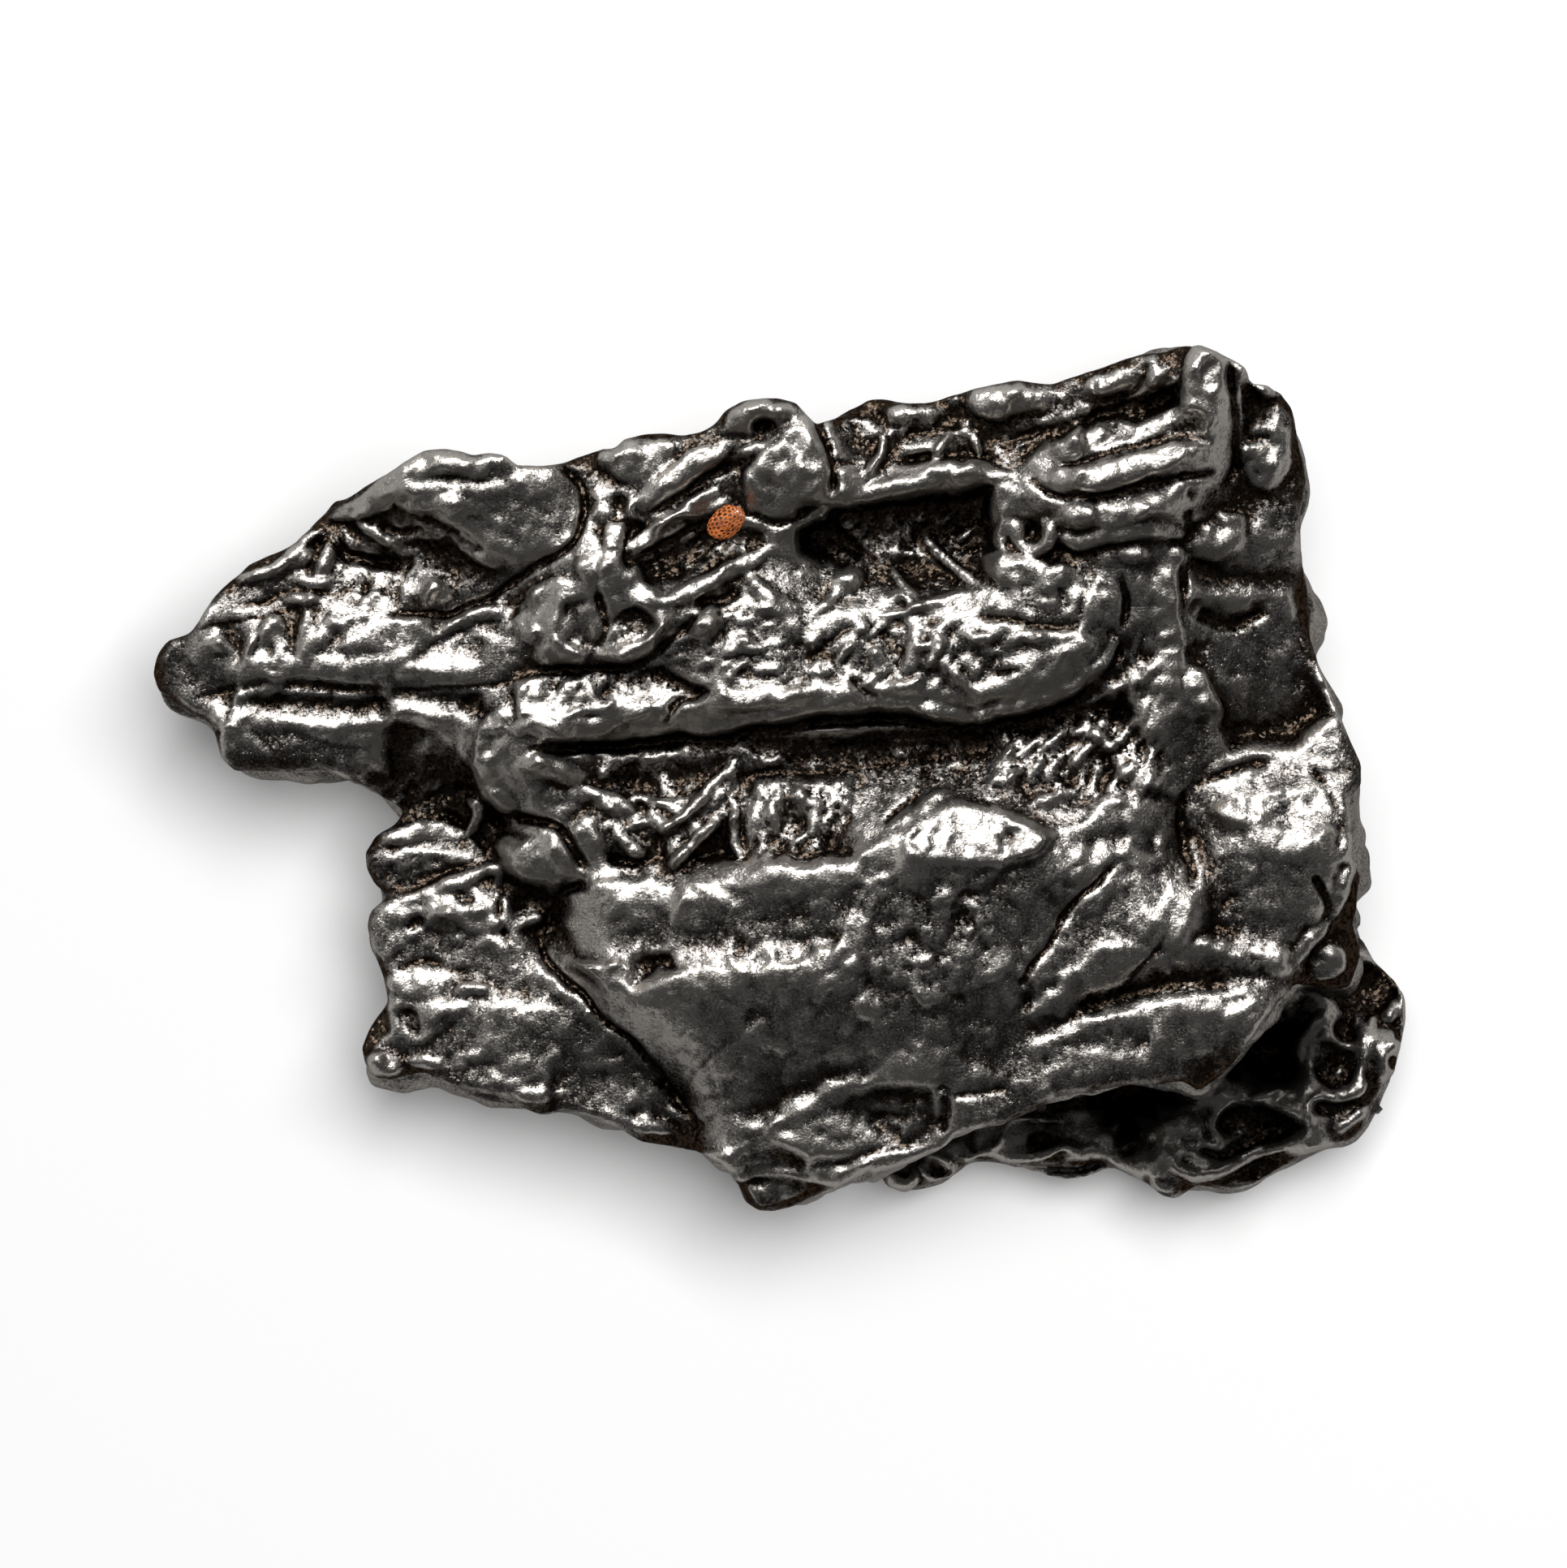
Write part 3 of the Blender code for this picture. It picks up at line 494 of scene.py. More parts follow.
arm = {
    "facets": [
        ((0.12, 0.1), 0, [(-24.7, 3.5), (-24.7, 5), (-23.6, 5.9), (-22.3, 6.2), (-22, 5.2), (-23.4, 3)], 0.4,
            0.1, 0, 0, 1),
        ((0, -0.5), 0, [(-21.9, 3.2), (-15.4, 3.1), (-15.3, 2.1), (-21.9, 1.9)]),
        ((0, 0.25), 0, [(-21.9, 1.8), (-18.4, 1.7), (-15.2, 1.9), (-15.2, 0.5), (-21.4, 0.4)]),
        ((0, 0.2), 0, [(-15, 6.4), (-13.6, 6.4), (-13.5, 5.6), (-14.2, 5), (-16.8, 4.5), (-17.6, 5)]),
        ((0, -0.42), 0, [(-14.8, 5.1), (-11.6, 5.3), (-11.4, 4.4), (-13.2, 4.1), (-14.9, 4.1)]),
        ((0, -0.4), 0, [(-15, 3.4), (-11.6, 3.3), (-11.4, 2.5), (-13.2, 2.2), (-15.1, 2.3)]),
    ],
    "bars": [
        (0.5, 0.25, [(-17.6, 6), (-16.8, 6), (-16, 6.2), (-15.4, 6.6)]),
        (0.6, 0.3, [(-13, 5.9), (-12, 6.3), (-10.4, 6.6)]),
    ],
    "cuts": [
        (0.8, 0.5, [(-22.6, 3.3), (-21, 3.6), (-19, 3.7), (-15.5, 3.4)]),
        (0.25, 0.8, [(-22.4, 5.9), (-20, 6.4), (-18.8, 6.55), (-17.6, 6.5)]),
        (0.35, 0.6, [(-15, 3.5), (-13, 3.55), (-10.2, 3.9)]),
    ],
    "ribs": [
        (88, 0.85, 0.7, [(-21.9, 6.1), (-17, 6.3), (-16.8, 5), (-21.8, 4.8)]),
        (4, 0.22, 0.18, [(-22.8, 3.9), (-15.4, 4.1), (-15.4, 3.2), (-22.6, 3.1)]),
        (50, 0.3, 0.3, [(-16.8, 0.5), (-13, 0.6), (-12.6, -0.6), (-14.4, -1.2), (-15.8, -0.4)]),
    ],
    "lumps": [(-21.6, 5.25, 0.42, 0.3, 0.3, -20), (-19.6, 5.85, 0.5, 0.55, 0.3, 0),
        (-18.4, 5.7, 0.33, 0.75, 0.3, -5), (-17.3, 5.9, 0.4, 0.45, 0.25, 0)],
}

topMiddle = {
    "facets": [
        ((0, -0.42), 0.15, [(-10.3, 3.95), (-5.6, 4.1), (-4.6, 4.4), (-3, 3.6), (-2.7, 3.2), (-7.4, 2.6),
            (-8.4, 2.2), (-10.2, 2.4)], 0.15, 0.2, 0.3, 0.7),
        ((0.1, 0.05), -0.5, [(-7.4, 11), (-5.6, 11), (-4.8, 10), (-5.6, 9), (-5.9, 8.2), (-6.8, 9),
            (-7.4, 10)], 0.4, 0.4, 0.8),
        ((0.05, -0.2), -0.4, [(-5.6, 8.4), (-3, 9.7), (-0.6, 9.7), (-0.8, 9), (-2.4, 8.2), (-5.2, 7.6)], 0.3,
            0.4, 1),
    ],
    "bars": [
        (1.5, 0.5, [(-9.8, 6.7), (-7.9, 7.2)]),
        (1.6, 0.6, [(-10.2, 5.9), (-7.8, 6.2)]),
        (1.5, 0.5, [(-9.6, 5.1), (-8.4, 5.2), (-7.4, 5.5)]),
        (0.85, 0.8, [(-6.4, 10), (-6.55, 8.4), (-7, 7.8)], 0.1),
        (1, 0.5, [(-7.6, 8.6), (-7.3, 8), (-7, 7.8)]),
        (0.25, 0.5, [(-5.8, 11), (-5.85, 10.4), (-5.75, 10.1)]),
        (1, 0.7, [(-2, 12.8), (-3.6, 12), (-5.1, 10.9), (-5.5, 10.4)]),
        (0.55, 0.65, [(-6, 8.8), (-4.4, 9.9), (-3.6, 10.3), (-2, 10.8)]),
        (0.6, 0.5, [(-4, 10.3), (-2.4, 11.2)]),
        (0.75, 0.7, [(0, 9), (-0.7, 8.8), (-1.5, 8.2), (-4.3, 7.05), (-5.9, 7.6)]),
        (0.8, 0.6, [(-4.2, 7), (-4.9, 5.5), (-5.6, 5.1), (-6.5, 4.9), (-7.2, 4.9)]),
        (0.7, 0.4, [(-5.8, 7.4), (-5.2, 6.8), (-5, 6.4)]),
        (0.4, 0.35, [(-1.8, 12.25), (-1, 12.75), (0, 13.1)]),
        (0.6, 0.4, [(-2.4, 5), (-1.6, 5.2), (-0.8, 5)]),
        (0.6, 0.5, [(-3.4, 5.4), (-2.6, 6.6)]),
        (0.5, 0.5, [(-1.2, 6.6), (-0.4, 6.6), (0.3, 6.3)]),
        (0.55, 0.5, [(-1.4, 8), (-0.8, 7.3), (0.6, 6.6)]),
    ],
    "cuts": [
        (0.55, 1.6, [(-8.5, 12), (-7.9, 11.6), (-7.6, 10.8), (-7.65, 10), (-7.9, 9.3), (-8.3, 8.9),
            (-9.8, 8.1), (-11.3, 7), (-12.2, 6.65), (-13.2, 6.45), (-15, 6.6)]),
        (0.4, 1.7, [(-9.9, 4.15), (-6, 4.3), (-5.2, 4.65), (-3.8, 5.6)]),
        (0.5, 0.9, [(-7.2, 7.4), (-6.9, 6.6), (-6.8, 5.8), (-7, 5.2)]),
        (0.3, 0.9, [(-2.6, 12.9), (-1.8, 12.5), (-1, 12.9), (0, 13.2)]),
        (0.5, 1, [(-5, 10.3), (-3.2, 11.5), (-1.6, 12.2)]),
        (0.5, 0.9, [(-5.9, 8.3), (-2.2, 10.4)]),
        (0.9, 0.8, [(-3.4, 6.9), (-2.4, 6.9), (-1.6, 7.3)]),
        (0.7, 0.8, [(-3.8, 5.6), (-3.2, 6.4)]),
        (0.6, 0.9, [(-1.9, 10.9), (-1.2, 10.3), (-0.2, 9.9), (0.8, 10.1)]),
    ],
    "ribs": [
        (35, 0.3, 0.28, [(-5.6, 8.6), (-3, 9.7), (-0.6, 9.6), (-0.8, 9), (-2.4, 8.3), (-5.2, 7.7)]),
        (20, 0.4, 0.3, [(-5, 4.8), (-3.8, 6.4), (-2, 6.8), (-0.4, 6.3), (0.4, 5), (0.2, 3.8), (-3, 3.9)]),
        (75, 0.35, 0.2, [(-10.3, 4), (-3.2, 4.2), (-3, 3.2), (-10, 2.7)]),
    ],
    "lumps": [(-5.5, 12.3, 1.4, 0.95, 0.5, 0), (-4.6, 12.8, 0.45, 0.4, 0.3, 0),
        (-8.1, 7, 0.55, 0.55, 0.35, 0), (-8.1, 6.05, 0.45, 0.4, 0.3, 0), (-0.8, 14, 1.5, 0.75, 0.6, 8),
        (0.3, 12.2, 1.3, 1, 0.25, 15), (0.35, 13.1, 0.6, 0.5, 0.3, 0), (-0.6, 11.5, 0.9, 0.7, 0.4, 20),
        (0.9, 11.5, 0.6, 0.8, 0.3, 0), (-6.9, 10.4, 0.4, 0.5, 0.3, 0), (-2.6, 5.9, 0.4, 0.4, 0.4, 0),
        (-2.4, 3.9, 0.5, 0.3, 0.2, 0)],
    "bowls": [(-5.6, 6, 0.85, 0.75, 0.6, 0), (-0.7, 13.5, 0.4, 0.25, 0.3, 0), (-6.3, 10.7, 0.3, 0.3, 0.4, 0)],
}

upperRight = {
    "facets": [
        ((0, 0.1), -0.85, [(0.6, 10.3), (4.2, 10.7), (4.2, 8.8), (2.4, 8.2), (0.8, 8.8)], 0.35, 0.35, 1),
        ((0.1, -0.05), -0.6, [(4.2, 10.8), (7.9, 11.2), (8, 8.4), (6.4, 8.2), (4.2, 8.6)], 0.35, 0.5, 0.8),
        ((-0.05, 0.1), -0.5, [(8, 12.5), (10, 13.6), (12.4, 14.5), (15, 15.1), (15.2, 14.2), (9.4, 12.4)],
            0.4, 0.4, 0.9),
        ((0, -0.3), -0.1, [(2.2, 14), (5.8, 14.4), (6.8, 14.2), (6.6, 13.4), (4, 13), (2, 13.3)], 0.35, 0.5,
            0.7),
        ((-0.1, -0.2), 0, [(13.9, 16.1), (15.4, 16.4), (15.5, 15.2), (14, 15.1)], 0.3, 0.3, 0.6),
        ((-0.3, 0.12), -0.1, [(17.5, 15), (19.2, 14.8), (19.9, 13), (19.9, 11), (18, 11), (17.5, 13)], 0.4,
            0.2),
        ((-0.4, 0.18), 0, [(15.4, 8), (16.8, 7.4), (19.6, 7.6), (20.9, 2.6), (19.6, 1.6), (17.2, 1.4),
            (15, 5.6)], 0.5, 0.3),
        ((0.05, -0.35), 0, [(10.3, 13), (12.6, 13.6), (15.2, 13.6), (16.2, 13.1), (13, 12.2), (10.4, 11.7)]),
        ((0, 0.25), -0.4, [(10.6, 11.2), (15.6, 11.9), (16.4, 11.2), (11, 10.5)]),
    ],
    "bars": [
        (0.8, 1, [(1.7, 10.8), (4.5, 11.2), (7, 11.9), (8, 11.8), (8.9, 11.5)]),
        (0.35, 0.5, [(1.9, 10.6), (0.4, 9.7), (0.05, 9.2)]),
        (0.4, 0.5, [(3.9, 13.2), (3.75, 12.5), (3.4, 12), (3.3, 11.3)]),
        (0.35, 0.5, [(6.5, 13.3), (7.1, 13.3), (7.5, 12.5)]),
        (0.35, 0.5, [(6.4, 13.3), (5.7, 12.1)]),
        (0.35, 0.6, [(5.4, 9.3), (6.6, 8.1), (7.6, 7.5)]),
        (0.35, 0.5, [(4.2, 8.1), (4.6, 7.5), (5.1, 7.1)]),
        (0.4, 0.5, [(3.6, 6.3), (5.2, 6.6), (7.2, 7.2)]),
        (0.4, 0.4, [(1.2, 6.4), (2.6, 7.8)]),
        (0.5, 0.5, [(8.3, 11), (8.6, 10.2), (8.4, 9.2), (8.5, 8.5)]),
        (0.9, 0.5, [(9.3, 12), (11.4, 12.9), (12.7, 13.3), (13.6, 13.4)]),
        (1, 0.6, [(10, 11.5), (11.4, 11.5), (12.8, 11.7), (16.5, 12.8)]),
        (0.85, 0.5, [(10.3, 10), (13, 10.2), (14.2, 10.5), (15.4, 10.5)]),
        (0.7, 0.4, [(10.4, 9.6), (11.2, 9.1), (12.5, 9.4), (15.3, 9.5)]),
        (1.7, 1, [(16, 15.8), (16.05, 15), (15.9, 14.1)], 0),
        (0.5, 0.4, [(13, 13.2), (14.9, 13.9), (15.4, 14.4)]),
        (0.4, 0.3, [(14.6, 15), (15.2, 15.6), (15.4, 14.6)]),
        (0.6, 0.5, [(9, 10.2), (9, 9.4), (9.6, 8.9), (10.1, 9.3), (10, 10.2)]),
        (1.1, 0.4, [(14.2, 9.2), (14.6, 8), (14.5, 6.6), (15.2, 4.5)]),
        (0.8, 0.5, [(15.2, 4.6), (16.3, 2.8), (16.3, 1.9)]),
        (0.7, 0.4, [(17.6, 15.9), (18.2, 15.2), (18.9, 14.9)]),
    ],
    "cuts": [
        (0.55, 1.6, [(17, 15.7), (17.2, 14.6), (17.3, 12), (17, 11.2)]),
        (0.5, 0.9, [(9.4, 11.6), (10.4, 10.9), (12, 10.9), (16.4, 11.8)]),
        (0.4, 0.8, [(9.4, 12.3), (10.6, 12.2), (12, 12.4), (15.6, 13.4)]),
        (0.5, 1, [(1.4, 13.8), (1.8, 12.8), (2, 11.8), (1.9, 11)]),
        (0.8, 0.7, [(8.2, 12.7), (9.5, 13.3), (14.4, 14.8)]),
        (0.7, 0.9, [(4.4, 12.2), (7, 12.5), (8.2, 12.5)]),
        (0.6, 0.8, [(2, 12.2), (3, 12.2)]),
        (0.35, 0.8, [(11, 15.3), (11.6, 14.5), (13.4, 14.9), (13.8, 15.9)]),
        (0.35, 0.7, [(6.8, 15), (6.9, 14), (8.4, 13.9), (10, 14.1), (10.6, 14.8)]),
        (0.5, 0.9, [(15.5, 11), (15.4, 8), (15.2, 6.6)]),
        (0.5, 0.7, [(10.2, 9), (11.2, 8.7), (14, 9.1)]),
        (1.3, 0.6, [(15.9, 6.6), (17, 6), (18.6, 6.6)]),
    ],
    "ribs": [
        (70, 0.35, 0.35, [(4.3, 10.8), (7.8, 11.2), (8, 9), (6.2, 8.6), (4.4, 8.8)]),
        (-35, 0.35, 0.3, [(4.4, 10.4), (6.4, 10.8), (6.6, 9), (4.6, 8.8)]),
        (50, 0.35, 0.4, [(8.6, 12.8), (11, 13.9), (14.8, 15), (15, 14.2), (9.4, 12.6)]),
        (40, 0.3, 0.25, [(2.2, 14), (6.6, 14.2), (6.4, 13.2), (2, 13.2)]),
        (60, 0.5, 0.35, [(0.8, 10), (3.8, 10.4), (4, 8.8), (1.2, 8.7)]),
    ],
    "lumps": [(8.5, 14.6, 1.5, 0.7, 0.7, 5), (12.6, 15.25, 0.95, 0.6, 0.6, 20), (9.3, 8, 1.2, 0.7, 0.6, 0),
        (16.6, 9.4, 1.2, 1.1, 0.6, 0), (17.4, 9.6, 0.4, 0.7, 0.4, -10), (18.7, 13, 1, 1.9, 0.4, -8),
        (11.2, 10.05, 0.7, 0.5, 0.35, 0), (12.6, 10.2, 0.55, 0.45, 0.3, 0), (14.1, 10.5, 0.7, 0.5, 0.35, 0),
        (2.4, 7.5, 0.6, 0.4, 0.4, 30), (4.5, 6.9, 0.4, 0.3, 0.35, 0), (5, 14.1, 1.2, 0.5, 0.3, 0),
        (13.3, 8.6, 0.5, 0.35, 0.3, 0), (14.7, 8.6, 0.5, 0.4, 0.3, 0)],
    "bowls": [(6.75, 12.55, 0.35, 0.35, 0.5, 0), (9.55, 9.55, 0.35, 0.4, 0.5, 0),
        (15.4, 13.5, 0.45, 0.25, 0.3, 20)],
}

middleBand = {
    "facets": [
        ((0, 0.14), 0, [(0.2, 3.9), (0.6, 6.2), (4, 7.4), (7.6, 7.6), (11.8, 7.4), (12.4, 5.6), (11.6, 4.4),
            (7.4, 3.4), (4, 3.8)], 0.5, 0.8, 0.3, 0, 1),
        ((0, 0.2), 0, [(-7, 1), (8, 1.9), (13, 3.4), (13.4, 2.6), (8, 1), (0, 0.4), (-7, 0.2)], 0.3, 0.4,
            0.7),
        ((0.05, -0.3), 0.1, [(-1, 0), (2.6, 0.2), (2.6, -2.8), (0.6, -3.2), (-1.4, -2.4)], 0.4, 0.5, 0.8),
        ((0, -0.25), 0, [(8.6, 2), (12.8, 2.8), (14.6, 1), (14.4, -0.8), (11, -0.9), (8, 0)], 0.4, 0.4, 0.8),
    ],
    "bars": [
        (0.8, 0.7, [(-10.5, 1.9), (-9.7, 2.1), (-8.5, 2), (-7.2, 2.1), (-6, 2.6), (-4.7, 2.9)]),
        (0.75, 0.6, [(-3.4, 2.5), (-3, 3), (0, 3.2), (1.8, 3.6)]),
        (0.5, 0.45, [(-4, 2), (-2.6, 2.1), (1.2, 2.9)]),
        (0.6, 0.5, [(1.5, 3.1), (5, 2.95), (6.5, 2.6), (7.5, 2.6), (10.5, 3.4), (11.6, 4), (12.3, 4.6),
            (12.7, 5.4)]),
        (1.1, 0.6, [(-10.9, 2.6), (-11.3, 1.6), (-11.3, 0.6), (-10.8, -0.4), (-10.2, -1)]),
        (0.9, 0.5, [(-10.4, 0.9), (-9.2, 0.7), (-7.6, 0)]),
        (0.35, 0.35, [(2, 4.6), (2.7, 5.6)]),
        (0.35, 0.35, [(3.4, 5.2), (3.8, 4.6), (4.3, 4.2)]),
        (0.5, 0.35, [(4, 3.7), (4.8, 3.6), (5.4, 3.9)]),
        (0.35, 0.35, [(5, 5.6), (5.4, 5.1), (6.1, 5.4), (5.6, 4.4)]),
        (0.35, 0.35, [(6.9, 5.7), (7.5, 5.4), (8.2, 5.6)]),
        (0.4, 0.35, [(8.6, 5.2), (9.4, 5.6), (10.2, 5.4)]),
        (0.5, 0.35, [(9.6, 7), (10.6, 6.6), (11.6, 6.6)]),
        (0.4, 0.3, [(10.6, 8.2), (11.4, 7.6), (12.3, 7.6)]),
    ],
    "cuts": [
        (0.9, 1.7, [(-9.6, 1.15), (-2, 1.7), (2, 2.3), (8, 2.25), (10, 2.5), (12, 3.4), (13, 4.4)]),
        (0.5, 0.8, [(-4.6, 2.2), (-4.2, 3), (-3.8, 3.4)]),
        (0.4, 0.8, [(8.1, 4.2), (9.1, 4.3)]),
        (0.6, 1, [(12.6, 5.6), (12.9, 5), (12.7, 4.5)]),
        (0.5, 0.6, [(7.3, 6.3), (10.8, 5.9)]),
        (0.5, 0.7, [(12.9, 7.9), (13.2, 6.8), (13, 5.8)]),
        (0.4, 0.5, [(2.6, 4), (3.2, 3.4), (3.6, 3.2)]),
        (0.4, 0.6, [(6.4, 5), (7.4, 3.6)]),
        (0.7, 1.6, [(-12.7, -0.3), (-11.9, -0.5), (-11.3, -1.2), (-10.9, -1.9)]),
    ],
    "ribs": [
        (62, 0.62, 0.5, [(-1.2, -0.2), (2.5, 0.1), (2.8, -2.2), (1, -3.2), (-1.2, -2.8)]),
        (120, 0.75, 0.35, [(-1, -0.2), (2, 0), (1.6, -2.4), (0, -3), (-1.2, -2.6)]),
        (55, 0.75, 0.4, [(0.4, 5.6), (4.4, 6.2), (7.4, 6.2), (7.6, 3.6), (4, 3.5), (0.8, 3.8)]),
        (-25, 1, 0.3, [(0.4, 6.2), (4.4, 6.4), (8, 6.2), (8.4, 6), (8.2, 4.2), (7.6, 3.4), (0.8, 3.8)]),
        (50, 0.5, 0.45, [(8.6, 1.9), (12.6, 2.8), (14.8, 1.4), (14.6, -0.6), (11, -0.8), (8, 0.2)]),
        (115, 0.8, 0.35, [(8.6, 1.9), (12.6, 2.8), (14.8, 1.4), (14.6, -0.6), (11, -0.8), (8, 0.2)]),
        (65, 0.45, 0.3, [(11.4, 3.4), (13.6, 6), (14.4, 4), (14, 2), (12.4, 2.4)]),
    ],
    "lumps": [(-9.6, 2.2, 0.5, 0.3, 0.2, 0), (-4.8, 2.7, 0.4, 0.4, 0.3, 0), (-10.6, 2.6, 0.5, 0.35, 0.2, 40),
        (-9, 0.5, 1.1, 0.5, 0.3, -8), (1.4, 4.4, 0.5, 0.4, 0.2, 0), (10.4, 7.6, 1, 0.7, 0.3, 20),
        (11.2, 5.2, 0.8, 0.5, 0.25, 10)],
    "bowls": [(3, 4.4, 0.4, 0.3, 0.35, 0)],
}

lowerMiddle = {
    "facets": [
        ((0.1, -0.3), 0, [(-6, 0.6), (-2.4, 0.6), (-2.6, -0.4), (-4.8, -2.2), (-5.8, -2.4), (-6.4, -1)], 0.4,
            0.5, 0.5),
        ((-0.2, 0.3), -0.2, [(-1.9, 0.6), (-1.4, -2.8), (-4.6, -3.4), (-4.6, -2.6), (-3, -1)], 0.3, 0.5, 0.6),
    ],
    "bars": [
        (0.4, 0.5, [(-1.85, 0.8), (-3, -0.5), (-4.8, -2)]),
        (0.5, 0.5, [(-2.1, -0.9), (-3.8, -2.9), (-4.5, -3.3)]),
        (0.4, 0.5, [(-2, -0.6), (-1.65, -2.3), (-1.3, -3)]),
        (0.8, 0.5, [(-8.3, -0.5), (-7.4, -0.6), (-5.7, -1.3)]),
        (0.6, 0.5, [(-7.9, -1.5), (-7.4, -2), (-7, -2.7)]),
        (0.5, 0.4, [(-6.4, -1.6), (-6, -2.3), (-5.4, -2.8)]),
    ],
    "cuts": [
        (0.8, 1.2, [(-10.4, -1.4), (-8.6, -1.8), (-8, -2.6), (-7.6, -3.4)]),
        (0.6, 1.6, [(-10.4, -3.6), (-9.8, -4.1), (-8.8, -4.3), (-7.8, -4.1)]),
        (0.8, 0.8, [(-6.8, -2.9), (-5.8, -3), (-5, -2.8)]),
        (0.6, 0.8, [(-5.6, -0.9), (-4.6, -1.1), (-3.8, -1.8)]),
        (0.5, 0.7, [(-3, -3.1), (-2.4, -2.5), (-2.3, -1.8)]),
    ],
    "ribs": [
        (30, 0.5, 0.35, [(-8.4, 0.2), (-5, 0.4), (-4.6, -1.6), (-6, -3), (-7.8, -2.4), (-8.6, -1)]),
    ],
    "lumps": [(-9.2, -3, 1.2, 0.9, 0.4, -10), (-9.6, -2.6, 0.5, 0.35, 0.3, 20),
        (-6.2, -1.1, 0.5, 0.4, 0.3, 0), (-7.5, -1.9, 0.4, 0.5, 0.3, 0)],
}

